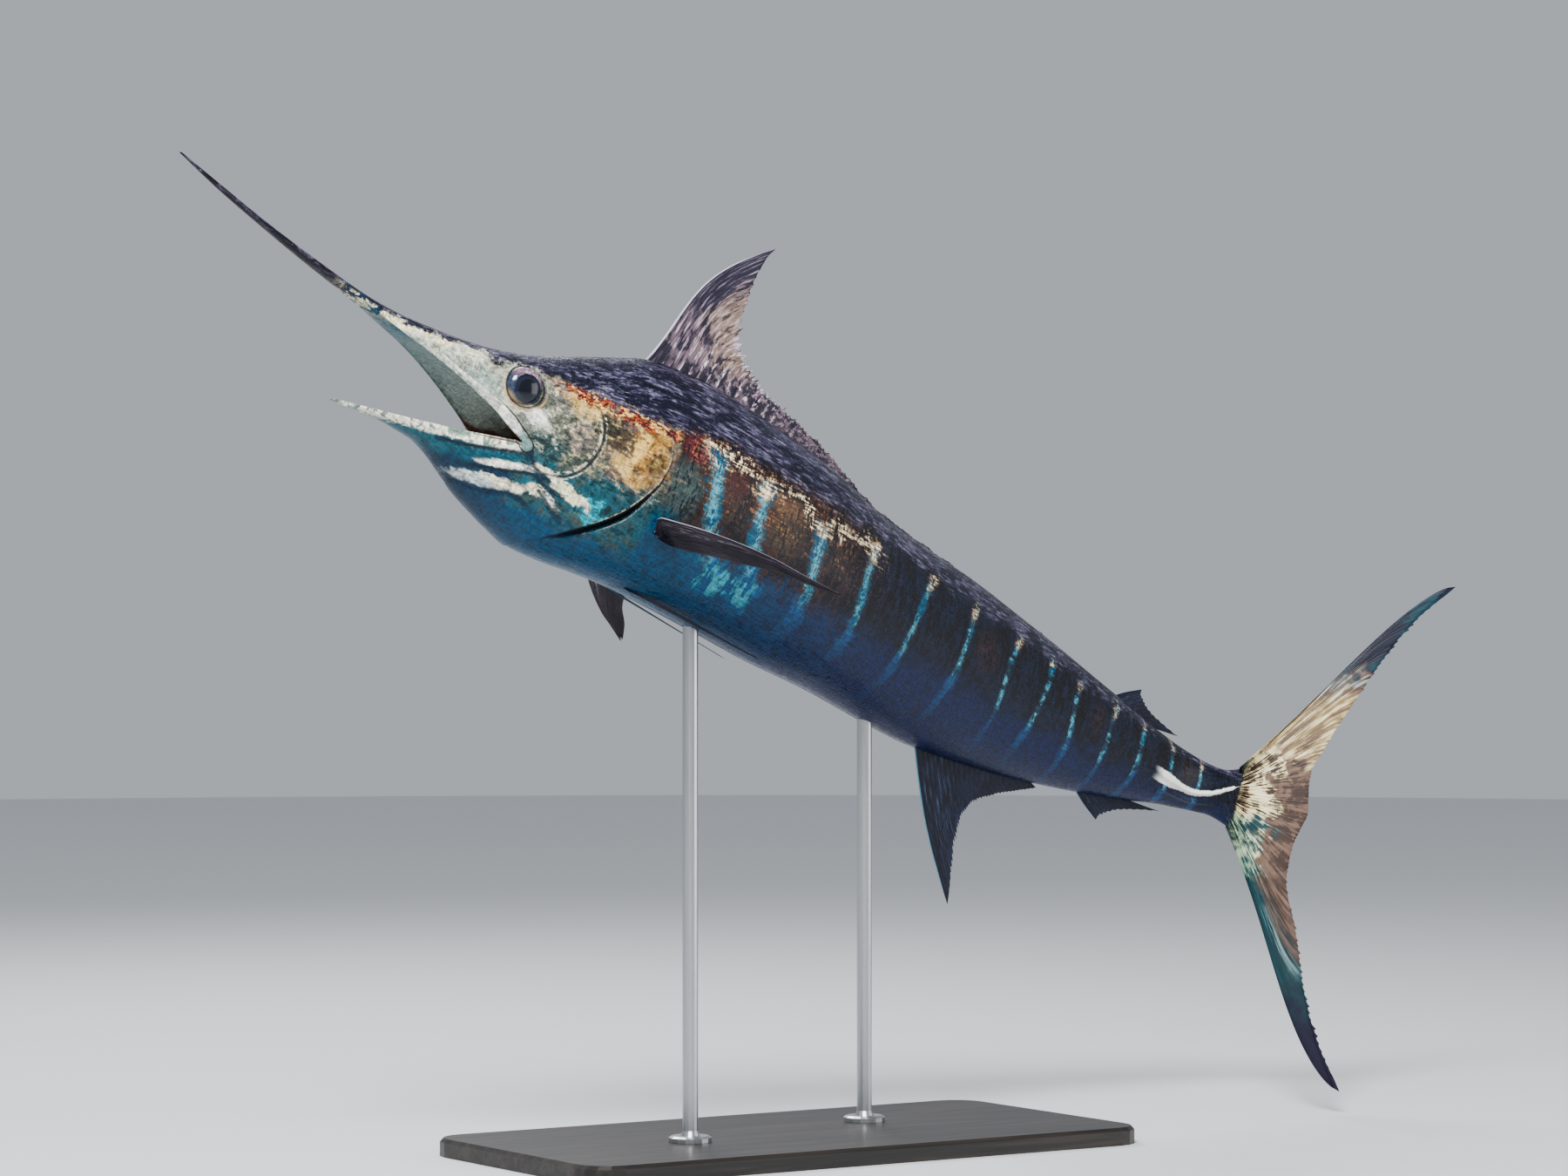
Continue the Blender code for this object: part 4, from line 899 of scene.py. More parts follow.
    def head(self, back: Wire) -> Wire:
        """Colours of the bill, face, jaws, throat and gill cover, under the back's colour on the crown.

        Args:
            back: the back's colour.

        Returns:
            The colour.
        """
        net, own, s, z, cloud, fine = self.net, self.own, self.s, self.z, self.cloud, self.fine
        crown = self.crown
        marble = own.blot(95, 95, 95, 4, 0.6)
        vein = own.blot(110, 170, 170, 4, 0.5)
        grit = own.blot(300, 460, 460, 3)
        ragged = marble.swing(0.9) + grit.swing(0.22)
        rear = s.step(0.12, 0.16)
        snout = s.step(0.135, 0.105)
        glint_and_mottle = vein * 0.72 + grit * 0.28
        cheek = net.paint(
            (0.78, 0.78, 0.64), (rear * 0.85, (0.25, 0.245, 0.175)),
            # bluer and darker towards the bottom of the face: painted shade of the underside
            ((z + cloud.swing(0.012)).step(-0.006, -0.030), self.teal),
            ((marble * 0.6 + vein * 0.4).step(0.30, 0.90) * (0.62 + rear * 0.23), (0.060, 0.085, 0.068)),
            (snout * (crown + ragged * 0.014).step(-0.006, -0.020) * 0.75, (0.22, 0.33, 0.30)),
            ((vein * 0.5 + marble * 0.5).step(0.62, 0.82) * snout * 0.7, (0.10, 0.11, 0.07)),
            *(patch.layer(s, z, ragged) for patch in self.face),
            # off-white flecks on the face, pale gold on the gill cover: painted highlights
            (glint_and_mottle.step(0.58, 0.96) * z.step(-0.034, -0.014) * (0.45 + rear * 0.15),
             net.paint((0.98, 0.96, 0.82), (s.step(0.150, 0.200), (0.95, 0.72, 0.32)))))
        rusty = (crown + marble.swing(0.0035) + grit.swing(0.0025)).band(-0.0105, 0.001, 0.0018)
        # Orange-red band along the crown, with gold dots that are painted highlights.
        rust = net.paint((0.085, 0.012, 0.018), (grit.step(0.30, 0.90), (0.50, 0.105, 0.030)),
                         (glint_and_mottle.step(0.58, 0.78), (1.0, 0.62, 0.20)))
        # pale lines either side of the cheek's arc, painted highlights on its ridges
        ring = self.arc.band(-0.0034, -0.0014, 0.0005) + self.arc.band(0.0013, 0.0024, 0.0005)

        jaw = z - (s - MOUTH_CORNER) * JAW_SLOPE - CORNER_Z
        edge = jaw + s.step(0.03, 0.15) * 0.0048 + marble.swing(0.0012)
        # off-white along the lower lip's edge: painted highlight
        lip = net.math("MAXIMUM", (edge + grit.swing(0.0016)).step(-0.0056, -0.0036), s.step(0.022, 0.004))
        flow = own.blot(60, 230, 230, 3).swing(0.9) + grit.swing(0.22)
        throat = net.paint(
            # teal deepening below the lower lip: painted shade of the jaw's underside
            self.teal, ((jaw + marble.swing(0.006)).step(-0.012, -0.026), self.deep_teal),
            (lip, net.paint((1.0, 0.96, 0.80), (marble.step(0.45, 0.80), (0.24, 0.33, 0.28)))),
            *(patch.layer(s, z, flow) for patch in self.face if patch.z < -0.035 and patch.s < 0.20))
        # deep blue on the lowest throat, running into the belly's: painted shade of the underside
        deep = (z + cloud.swing(0.006) + marble.swing(0.004)).step(-0.056, -0.071) * s.step(0.035, 0.085)
        pale = net.paint((1.0, 0.99, 0.92),
                         ((s + marble.swing(0.004)).step(0.139, 0.147), (0.20, 0.33, 0.31)))
        across, up = s - EYE[0], z - EYE[2]
        away = net.length(across, up)
        cheek = net.paint(
            cheek.shade(1.0 - glint_and_mottle.step(0.46, 0.12) * (0.34 + rear * 0.31)),
            (rusty * s.step(0.140, 0.170) * marble.step(0.12, 0.50), rust),
            # dark line in the cheek arc's groove: painted shade
            (abs(self.arc).step(0.0012, 0.0003) * 0.7, (0.012, 0.018, 0.018)),
            # pale lines beside the arc: painted highlights on its ridges
            (ring * grit.step(0.25, 0.65) * 0.65, (0.95, 0.92, 0.76)),
            (s.step(0.156, 0.149) * jaw.step(0.0035, 0.0015), throat),
            # dark lines in the throat folds: painted shade in the creases
            (abs(self.fold + fine.swing(0.0006)).step(0.0024, 0.0006) * 0.9, (0.002, 0.022, 0.045)),
            (deep, net.paint(self.deep_teal, (s.step(0.12, 0.20), self.shaded_belly_front))),
            (self.bone.step(0.0002, -0.0004) * 0.95, pale.shade(0.55 + marble * 0.5)),
            # dark line round the lip bone's plate: painted shade in its groove
            (self.bone.band(0.0002, 0.0013, 0.0004) * s.step(0.105, 0.135) * 0.95, (0.008, 0.014, 0.018)),
            # dark ring round the eye: painted shade in the socket's gap
            (away.band(0.0136, 0.0160, 0.0006) * 0.9, (0.010, 0.009, 0.012)),
            (away.band(0.0160, 0.0174, 0.0005) * up.step(0.004, -0.006) * 0.8, (0.55, 0.36, 0.15)))

        under = (z + s * 0.22).step(0.0195, 0.0125) * s.step(0.10, 0.03)
        bill = net.paint((0.006, 0.005, 0.012),
                         (own.blot(60, 420, 420, 3).step(0.50, 0.85) * 0.6, (0.075, 0.060, 0.100)),
                         (under * s.step(-0.03, 0.01), self.deep_teal))
        # off-white flecks along the crown's edge on the snout: painted highlights
        line = crown.band(-0.0062, -0.0008, 0.0010) * s.step(-0.030, 0.0) * s.step(0.104, 0.085)
        # thin pale rim along the gill cover's rear edge: painted highlight
        cover_rim_highlight = self.inside.band(0.0004, 0.0018, 0.0005) * z.step(-0.066, -0.050) * s.step(0.21, 0.23)
        return net.paint(bill, ((s + cloud.swing(0.008) + marble.swing(0.008)).step(0.010, 0.030), cheek),
                         (line * marble.step(0.20, 0.55), (1.0, 0.90, 0.60)),
                         (cover_rim_highlight * grit.step(0.15, 0.50) * 0.85, (0.85, 0.78, 0.55)),
                         ((crown + fine.swing(0.0030) + marble.swing(0.0045)).step(-0.0020, 0.0020), back))


def membrane(net: Network, colour: Wire, grain: Wire, thread: Wire, rough: float, lit: Wire) -> Material:
    """Satin coat over a fin's colour, with the rays' grain in its relief.

    Args:
        net: the fin's nodes.
        colour: its colour.
        grain: broad noise along the rays.
        thread: fine noise along the rays.
        rough: middle roughness.
        lit: lightness.

    Returns:
        The material.
    """
    return net.finish(Base_Color=colour.shade(lit), Roughness=rough + grain.swing(0.16),
                      Specular_IOR_Level=0.35, Coat_Weight=0.08, Coat_Roughness=0.2,
                      Normal=net.bump(grain + thread, 0.0004))


@dataclass(frozen=True)
class FinFinish:
    """Membrane with paler rays; k runs from the leading to the last ray and r from the root to the edge."""

    name: str
    web: Colour
    cloudy: Colour
    ray: Colour
    # lead: painted highlight along the leading edge
    lead: Colour
    lobe: Colour
    trail: Colour
    tip: Colour
    dash: Colour
    dash_share: float
    rays: int

    def dress(self) -> Material:
        """Builds the material, which reads the attributes own and ray.

        Returns:
            The material.
        """
        net = Network(self.name)
        across, out, ridge = net.attribute("ray").parts()
        cloud = net.attribute("own").blot(45, 45, 45)
        line = net.node("CombineXYZ", None, {0: across * (self.rays * 2.2), 1: out * 5.0, 2: 0.0})
        grain = line.blot(1, 1, 1)
        thread = line.blot(3.1, 1.6, 1.0, 3)
        lobe = (across + grain.swing(0.03)).step(0.13, 0.05) * (out + cloud.swing(0.25)).step(0.35, 0.62)
        trail = (across + grain.swing(0.03)).band(0.09, 0.23, 0.02) * (out + grain.swing(0.4)).step(0.35, 0.7)
        light = (ridge * 0.45 + grain * 0.35 + thread * 0.35).step(0.58, 0.95)
        rooted = across.step(0.10, 0.03) * (out + cloud.swing(0.2)).step(0.24, 0.10)
        dashes = (thread * 0.5 + ridge * 0.5).step(0.66, 0.86) * grain.step(0.45, 0.75)
        low = out.step(0.075, 0.035) * across.band(0.045, 0.24, 0.02)
        high = (out + grain.swing(0.2)).band(0.25, 0.60, 0.06) * across.band(0.12, 0.32, 0.03)
        colour = net.paint(
            self.web, ((cloud * 0.55 + grain * 0.45).step(0.30, 0.75), self.cloudy), (lobe, self.lobe),
            (trail * 0.9, self.trail),
            (light * (1.0 - lobe * 0.55) * (0.85 - across.step(0.26, 0.42) * 0.55), self.ray),
            ((grain * 0.6 + thread * 0.4).step(0.36, 0.10) * 0.7, self.web), (rooted * 0.8, self.web),
            ((low + high * 0.7) * dashes * self.dash_share, self.dash),
            ((out + thread.swing(0.10)).step(0.93, 0.99) * across.band(0.15, 0.34, 0.05), self.tip),
            # pale line along the leading ray: painted highlight
            (across.step(0.006, 0.002) * out.step(0.97, 0.80), self.lead))
        return membrane(net, colour, grain, thread, 0.44, 0.62 + thread * 0.5 + grain * 0.26)


@dataclass(frozen=True)
class TailFinish:
    """Tail fin: gold at the fork under pale painted highlights, slate towards the upper tip, brown and navy
    towards the lower.
    """

    teal: Colour = (0.008, 0.075, 0.095)
    brown: Colour = (0.075, 0.045, 0.035)
    rosy: Colour = (0.20, 0.125, 0.092)
    gold: Colour = (0.46, 0.34, 0.12)
    cream_highlight: Colour = (1.0, 0.90, 0.60)

    def dress(self) -> Material:
        """Builds the material, which reads the attributes own and ray.

        Returns:
            The material.
        """
        net = Network("fin_tail")
        own = net.attribute("own")
        z = own.parts()[2]
        across, out, _ = net.attribute("ray").parts()
        tall = abs(z)
        cloud = own.blot(34, 34, 34, 3, 0)
        patch = own.blot(75, 75, 75)
        line = net.node("CombineXYZ", None, {0: across * 20.0, 1: out * 2.2, 2: z.step(-0.002, 0.002) * 9.0})
        grain = line.blot(0.8, 1, 1, 3, 0)
        thread = (line.blot(2.4, 1.4, 1, 3, 0) - 0.5) * (1.0 - tall.step(0.090, 0.150) * 0.85) + 0.5
        level = tall + cloud.swing(0.022) + grain.swing(0.014)
        streak = (grain * 0.40 + thread * 0.3 + cloud * 0.2 + across * 0.25).step(0.28, 0.74)
        bright = (thread * 0.35 + grain * 0.35 + cloud * 0.20 + across * 0.25).step(0.52, 0.92)
        tips = net.paint((0.010, 0.012, 0.032),
                         ((cloud * 0.5 + grain * 0.5).step(0.45, 0.90) * 0.7, self.teal))
        high = net.paint(
            self.brown, ((across + grain.swing(0.35) + cloud * 0.2).step(0.08, 0.42), self.rosy),
            (streak * level.band(0.050, 0.112, 0.010) * 0.8, self.gold),
            # off-white streaks, and the pale teal threads below the tips: painted highlights
            (bright * level.band(0.052, 0.118, 0.010) * 0.8, self.cream_highlight),
            (thread.step(0.35, 0.85) * level.band(0.106, 0.124, 0.006) * 0.7, (0.45, 0.66, 0.64)),
            (level.step(0.118, 0.136), tips))
        rosy = (thread * 0.3 + grain * 0.4 + cloud * 0.3).step(0.30, 0.80) * level.step(0.150, 0.100)
        seam = (across + grain.swing(0.06)).band(0.25, 0.33, 0.03) * level.band(0.085, 0.140, 0.015)
        sea = net.paint((0.003, 0.034, 0.042), (thread * 0.6, self.teal))
        low = net.paint(
            self.brown, (rosy, self.rosy), ((across + grain.swing(0.10)).step(0.46, 0.26), sea),
            (seam * thread.step(0.25, 0.80) * 0.55, (0.34, 0.52, 0.53)),
            (level.step(0.135, 0.175), (0.008, 0.006, 0.028)))
        near = (out + patch.swing(0.30) + cloud.swing(0.25)).step(0.66, 0.48)
        warm = patch * 0.6 + thread * 0.4
        warm = net.paint(self.brown, (warm.step(0.40, 0.75), self.rosy),
                         (near * warm.step(0.25, 0.52), self.gold),
                         # off-white spots near the fork: painted highlights
                         (near * (patch * 0.5 + thread * 0.5).step(0.34, 0.58), self.cream_highlight))
        cool = net.paint((0.008, 0.070, 0.085),
                         ((thread * 0.5 + patch * 0.5).step(0.40, 0.70), (0.46, 0.66, 0.46)))
        lower = (z + cloud.swing(0.008)).band(-0.060, -0.010, 0.004)
        lower = lower * (out + patch.swing(0.4)).step(0.70, 0.45)
        colour = net.paint(
            low, ((z + cloud.swing(0.006)).step(-0.008, 0.004), high), (level.step(0.056, 0.040), warm),
            (lower * 0.85, cool), ((out + thread.swing(0.10)).step(0.10, 0.03), (0.006, 0.028, 0.040)))
        return membrane(net, colour, grain, thread, 0.42, 0.70 + thread * 0.28 + grain * 0.20)


@dataclass(frozen=True)
class EyeFinish:
    """Blue-black pupil in a grey-blue iris, rosy above with pale painted highlights, and gold along the lower
    rim, under a wet coat.
    """

    pupil: Colour = (0.004, 0.006, 0.014)
    iris: Colour = (0.026, 0.038, 0.068)
    rose: Colour = (0.19, 0.115, 0.165)
    # pale: painted highlights on the upper iris
    pale: Colour = (0.62, 0.54, 0.60)
    gold: Colour = (0.34, 0.24, 0.12)

    def dress(self) -> Material:
        """Builds the material, which reads the eye's own disc from the attribute own.

        Returns:
            The material.
        """
        net = Network("eye_wet")
        own = net.attribute("own")
        across, up, _ = own.parts()
        ring = net.length(across, up)
        rise = up + 0.10
        fibre = own.blot(7, 7, 7, 4, 0.8)
        lens = net.length(across - 0.04, rise) + fibre.swing(0.03)
        colour = net.paint(
            self.iris, (fibre.step(0.30, 0.85) * 0.6, (0.070, 0.095, 0.150)),
            ((rise + fibre.swing(0.12)).step(0.30, 0.62), self.rose),
            # pale flecks on the upper iris: painted highlights
            (fibre.step(0.45, 0.85) * rise.step(0.50, 0.78) * 0.7, self.pale),
            (lens.step(0.72, 0.64), (0.012, 0.018, 0.034)), (lens.step(0.52, 0.46), self.pupil),
            (lens.band(0.64, 0.74, 0.02) * rise.step(0.05, 0.30), self.pupil),
            (up.step(-0.35, -0.70) * ring.step(0.72, 0.90) * 0.85, self.gold),
            (ring.step(0.95, 1.0), (0.012, 0.012, 0.018)))
        return net.finish(Base_Color=colour, Roughness=0.20, Specular_IOR_Level=0.3, Coat_Weight=0.7,
                          Coat_Roughness=0.03)


class StandFinish(Enum):
    """Finishes of the display stand."""

    BOARD = "stand_board"
    STEEL = "stand_steel_brushed"
    SCREW = "stand_screw"

    def dress(self) -> Material:
        """Builds the chosen finish.

        Returns:
            The material.
        """
        net = Network(self.value)
        place = net.node("TexCoord", output="Object")
        if self is StandFinish.BOARD:
            grain = place.noise((2.2, 46.0, 46.0), 5.0, 0.62, 0.8)
            pore = place.noise((14.0, 420.0, 420.0), 2.0)
            colour = net.paint((0.012, 0.010, 0.009), (grain.step(0.35, 0.68), (0.040, 0.030, 0.024)))
            return net.finish(Base_Color=colour, Roughness=0.42 + pore.swing(0.2), Coat_Weight=0.25,
                              Coat_Roughness=0.25, Normal=net.bump(pore, 0.0003))
        brush = place.noise((500.0, 500.0, 9.0), 3.0, 0.6)
        tone = (0.60, 0.61, 0.62) if self is StandFinish.STEEL else (0.42, 0.42, 0.44)
        return net.finish(Base_Color=net.paint(tuple(c * 0.8 for c in tone), (brush, tone)),
                          Roughness=0.26 + brush * 0.16, Metallic=1.0, Normal=net.bump(brush, 0.0001, 0.4))


@dataclass
class Hide:
    """The whole skin, from bill to tail stalk, with the mouth open, and the scales on it."""

    spine: Spine
    form: Form
    marks: Marks
    relief: Relief
    runs: tuple[tuple[float, float, int], ...] = (  # rows of the skin, closest on the head
        (BILL_TIP, 0.0, 110), (0.0, JAW_TIP, 16), (JAW_TIP, MOUTH_CORNER, 160),
        (MOUTH_CORNER, MOUTH_BACK, 34), (MOUTH_BACK, 0.27, 118), (0.27, 0.83, 250), (0.83, STALK_END, 110))
    flesh: tuple[str, ...] = ("bill", "head", "lower_jaw", "gill_cover_left", "gill_cover_right",
                              "trunk_front", "trunk_middle", "trunk_rear", "tail_stalk")
    upper_columns: int = 84
    lower_columns: int = 74
    mouth_columns: int = 18

    def grid(self) -> tuple[Array, Array, Array]:
        """One closed skin of strips: 0 back and sides, 1 jaw, throat and belly, 2 the mouth's roof, 3 its floor.

        Returns:
            Straight places, strip numbers and faces.
        """
        own: list[Array] = []
        kinds: list[Array] = []
        faces: list[Array] = []
        s = np.concatenate([*(np.linspace(a, b, n, endpoint=False) for a, b, n in self.runs), [STALK_END]])
        jaw, corner, rear = (int(np.argmin(np.abs(s - at))) for at in (JAW_TIP, MOUTH_CORNER, MOUTH_BACK))

        def rows(places: Array, kind: float) -> Array:
            """Adds points.

            Args:
                places: straight places, rows by columns by three.
                kind: number of their strip.

            Returns:
                The points' numbers, rows by columns.
            """
            start = sum(map(len, own))
            own.append(places.reshape(-1, 3))
            kinds.append(np.full(len(own[-1]), kind))
            return np.arange(start, start + len(own[-1])).reshape(places.shape[:2])

        def strip(first: int, last: int, half: int, kind: int, outline: Callable) -> Array:
            """Adds the points of an outline along some rows."""
            at, t = np.broadcast_arrays(s[first:last + 1, None], np.linspace(-1, 1, 2 * half + 1)[None, :])
            return rows(np.stack([at, *outline(at, t)], -1), kind)

        upper = strip(0, len(s) - 1, self.upper_columns, 0, self.form.upper)
        lower = strip(jaw, len(s) - 1, self.lower_columns, 1, self.form.lower)
        roof = strip(0, rear, self.mouth_columns, 2, lambda a, t: self.form.mouth(a, t, True))
        floor = strip(jaw, rear, self.mouth_columns, 3, lambda a, t: self.form.mouth(a, t, False))
        for end in (0, -1):
            roof[:corner + 1, end] = upper[:corner + 1, end]
            lower[corner - jaw:, end] = upper[corner:, end]
            floor[:corner + 1 - jaw, end] = lower[:corner + 1 - jaw, end]
            floor[corner - jaw:, end] = roof[corner:, end]
        for n in (upper[:, ::-1], lower, roof, floor[:, ::-1]):
            faces.append(np.stack([n[:-1, :-1], n[:-1, 1:], n[1:, 1:], n[1:, :-1]], -1).reshape(-1, 4))
        for top, bottom, order in ((upper[0], roof[0], 1), (lower[0], floor[0], -1), (roof[-1], floor[-1], 1),
                                   (upper[-1], lower[-1], -1)):
            ring = np.concatenate([top, bottom[-2:0:-1]])[::order]
            all_own, all_kinds = np.concatenate(own), np.concatenate(kinds)
            centre = rows(all_own[ring].mean(0)[None, None, :], all_kinds[ring[0]])[0, 0]
            after = np.roll(ring, -1)
            half = len(ring[::2])
            faces.append(np.stack([ring[::2], after[::2], after[1::2][:half], np.full(half, centre)], -1))
        used, joined = np.unique(np.concatenate(faces), return_inverse=True)
        return np.concatenate(own)[used], np.concatenate(kinds)[used], joined.reshape(-1, 4)

    def fields(self, own: Array, mouth: Array, tone: Array) -> dict[str, Array]:
        """The attributes that the markings are drawn from.

        Args:
            own: straight places of the points.
            mouth: 1 on points inside the mouth.
            tone: lightness of each point's scale, one half on plain skin.

        Returns:
            Vectors of each attribute, by its name.
        """
        s, z = own[:, 0], own[:, 2]
        gap, along = self.marks.cover_edge.measure(s, z)
        slit = ease(gap, -0.0003, 0.0004) * ease(gap / self.relief.slit_width(along), 0.9, 0.45)
        slit = slit * ease(along, 0.40, 0.60) * (along < 0.999) * (1 - mouth)
        columns = {"lay": [z - self.marks.crown(s), z - self.marks.waist(s), 0 * z],
                   "bars": [*self.marks.bar_fields(s, z), z - self.marks.brow(s)],
                   "face": [-gap, mouth * ease(s, -0.02, 0.04), slit],
                   "lines": self.marks.face_lines(s, z), "tone": [tone, tone, tone]}
        return {"own": own} | {name: np.stack(column, 1) for name, column in columns.items()}

    def build(self, finish: Material) -> None:
        """Makes the skin in its finish, in place of the flesh nodes.

        Args:
            finish: the skin's material.
        """
        own, kind, faces = self.grid()
        points = self.spine.place(*own.T)
        outer = kind < 2
        rise = np.zeros(len(own))
        rise[outer] = self.relief.outside(*own[outer].T)
        points += self.normals(points, faces) * rise[:, None]
        fields = self.fields(own, (kind > 1.5).astype(float), np.full(len(own), 0.5))
        mesh = mesh_from("marlin_skin", points, faces, **fields)
        add("marlin_skin", mesh, finish, "flank_skin", *self.flesh)

    @staticmethod
    def normals(points: Array, faces: Array) -> Array:
        """Unit normals of the points, from the faces round them.

        Args:
            points: world points.
            faces: rows of four point numbers.

        Returns:
            One for each point.
        """
        a, b, c, d = (points[faces[:, i]] for i in range(4))
        across = np.cross(c - a, d - b)
        total = np.zeros_like(points)
        for i in range(4):
            for axis in range(3):
                total[:, axis] += np.bincount(faces[:, i], across[:, axis], len(points))
        return total / np.maximum(np.linalg.norm(total, axis=1), 1e-12)[:, None]


@dataclass
class Scales:
    """Long pointed scales that lie in the skin, in staggered rows, denser and smaller towards the tail."""

    hide: Hide
    first: float = 0.158
    last: float = 0.930
    rows: int = 210
    across: int = 62
    length: float = 0.0085
    width: float = 0.00155
    rise: float = 0.00028
    seed: int = 7
    upper_share: float = 0.55  # of the way round from the back's middle, up to the side line
    bake_size: float = 0.003   # of one scale on the bake map
    shape: tuple[tuple[float, float, float], ...] = (  # corners: back along the scale, aside and up
        (0.0, 0.0, -0.5), (0.42, -1.0, 0.25), (0.42, 0.0, 1.0), (0.42, 1.0, 0.25), (1.0, 0.0, 0.9))
    triangles: tuple[tuple[int, int, int], ...] = ((0, 1, 2), (0, 2, 3), (1, 4, 2), (2, 4, 3))

    def build(self, finish: Material) -> None:
        """Makes the joined mesh of the scales with its bake map.

        Args:
            finish: the skin's material.
        """
        rng = np.random.default_rng(self.seed)
        form, long = self.hide.form, self.last - self.first
        s = self.first + long * (np.arange(self.rows) / self.rows)
        s, t = np.meshgrid(s, np.linspace(-0.98, 0.98, self.across * 2 + 1), indexing="ij")
        t = t + 0.5 * (t[0, 1] - t[0, 0]) * (np.arange(self.rows) % 2)[:, None]
        s = (s + rng.uniform(-0.3, 0.3, s.shape) * long / self.rows).ravel()
        t = np.clip(t.ravel() + rng.uniform(-0.3, 0.3, t.size) / self.across, -0.985, 0.985)
        keep = self.wanted(s, self.around(s, t)[:, 2])
        s, t = s[keep], t[keep]
        size = rng.uniform(0.75, 1.25, len(s)) * (1 - 0.35 * ease(s, 0.3, 0.95))
        half = self.width * size * rng.uniform(0.8, 1.2, len(s))
        tall = form.back(s) - form.belly(np.maximum(s, MOUTH_CORNER))
        girth = np.maximum(form.width(s), 0.5 * tall) * np.pi
        own = np.stack([self.around(s + back * self.length * size, t + side * half / girth)
                        for back, side, _ in self.shape], 1).reshape(-1, 3)
        lift = np.tile([up * self.rise for _, _, up in self.shape], len(s))
        faces = (np.arange(len(s))[:, None, None] * 5 + np.array(self.triangles)).reshape(-1, 3)
        fields = self.hide.fields(own, np.zeros(len(own)), np.repeat(rng.uniform(0, 1, len(s)), 5))
        mesh = mesh_from("marlin_scales", self.lifted(own, lift), faces, **fields)
        root = np.stack([(s - self.first) / long * 0.98 + 0.01, t * 0.49 + 0.5], 1)
        patch = np.array([(0.0, 0.0), (0.5, -0.5), (0.5, 0.0), (0.5, 0.5), (1.0, 0.0)])
        corners = (root[:, None, :] + patch[None] * self.bake_size).reshape(-1, 2)
        layer = mesh.uv_layers.new(name="OFBake")
        layer.uv.foreach_set("vector", corners[faces.ravel()].astype(np.float32).ravel())
        add("marlin_scales", mesh, finish, "flank_skin")

    def around(self, s: Array, t: Array) -> Array:
        """Straight places on the skin; t runs from -1 at the belly's middle round by the left side to 1.

        Args:
            s: stations.
            t: places round the body.

        Returns:
            Rows of station, place across and height.
        """
        form, share, size = self.hide.form, self.upper_share, np.abs(t)
        low = form.lower(s, np.sign(t) * (1 - (size - share) / (1 - share)))
        pairs = zip(form.upper(s, t / share), low)
        return np.stack([s, *(np.where(size <= share, above, below) for above, below in pairs)], 1)

    def wanted(self, s: Array, z: Array) -> Array:
        """Leaves out the face, the gill covers and the keels.

        Args:
            s: stations.
            z: heights.

        Returns:
            True where a scale may lie.
        """
        gap, keel, low_keel = (path.measure(s, z)[0] for path in (
            self.hide.marks.cover_edge, self.hide.marks.upper_keel, self.hide.marks.lower_keel))
        behind = (gap > 0.0085) | ((z > 0.040) & (s > 0.16))
        return behind & (np.abs(keel) > 0.004) & (np.abs(low_keel) > 0.003) & ((s > 0.262) | (z > 0.038))

    def lifted(self, own: Array, lift: Array) -> Array:
        """World points over the skin by a lift in metres.

        Args:
            own: straight places.
            lift: heights over the skin.

        Returns:
            One row for each place.
        """
        form, (s, y, z) = self.hide.form, own.T
        middle = form.middle(s)
        depth = np.where(z > middle, form.back(s) - middle, middle - form.belly(np.maximum(s, MOUTH_CORNER)))
        ny, nz = y / form.width(s) ** 2, (z - middle) / depth ** 2
        rise = (self.hide.relief.outside(s, y, z) + lift) / LENGTH / np.hypot(ny, nz)
        return self.hide.spine.place(s, y + ny * rise, z + nz * rise)


@dataclass
class Eyes:
    """The two eyeballs, in place of their nodes."""

    spine: Spine
    radii: tuple[float, float, float] = (0.0152, 0.0085, 0.0152)
    turns: int = 72
    rings: int = 30

    def build(self, finish: Material) -> None:
        """Makes both eyes in one finish.

        Args:
            finish: the eyes' material.
        """
        tilt = np.linspace(0.0, np.pi, self.rings + 1)
        tilt[0], tilt[-1] = 1e-4, np.pi - 1e-4
        tilt, turn = np.meshgrid(tilt, np.linspace(0, 2 * np.pi, self.turns, endpoint=False), indexing="ij")
        disc = np.stack([np.sin(tilt) * np.cos(turn), np.cos(tilt), np.sin(tilt) * np.sin(turn)], -1)
        disc = disc.reshape(-1, 3)
        n = np.arange(tilt.size).reshape(tilt.shape)
        a, b = n[:-1], n[1:]
        faces = np.stack([a, np.roll(a, -1, 1), np.roll(b, -1, 1), b], -1).reshape(-1, 4)
        for side, name in ((1, "eye_left"), (-1, "eye_right")):
            points = self.spine.place(*((EYE + disc * self.radii) * (1, side, 1)).T)
            mesh = mesh_from(name, points, faces[:, ::side], own=disc[:, [0, 2, 1]])
            add("marlin_" + name, mesh, finish, "eye", name)


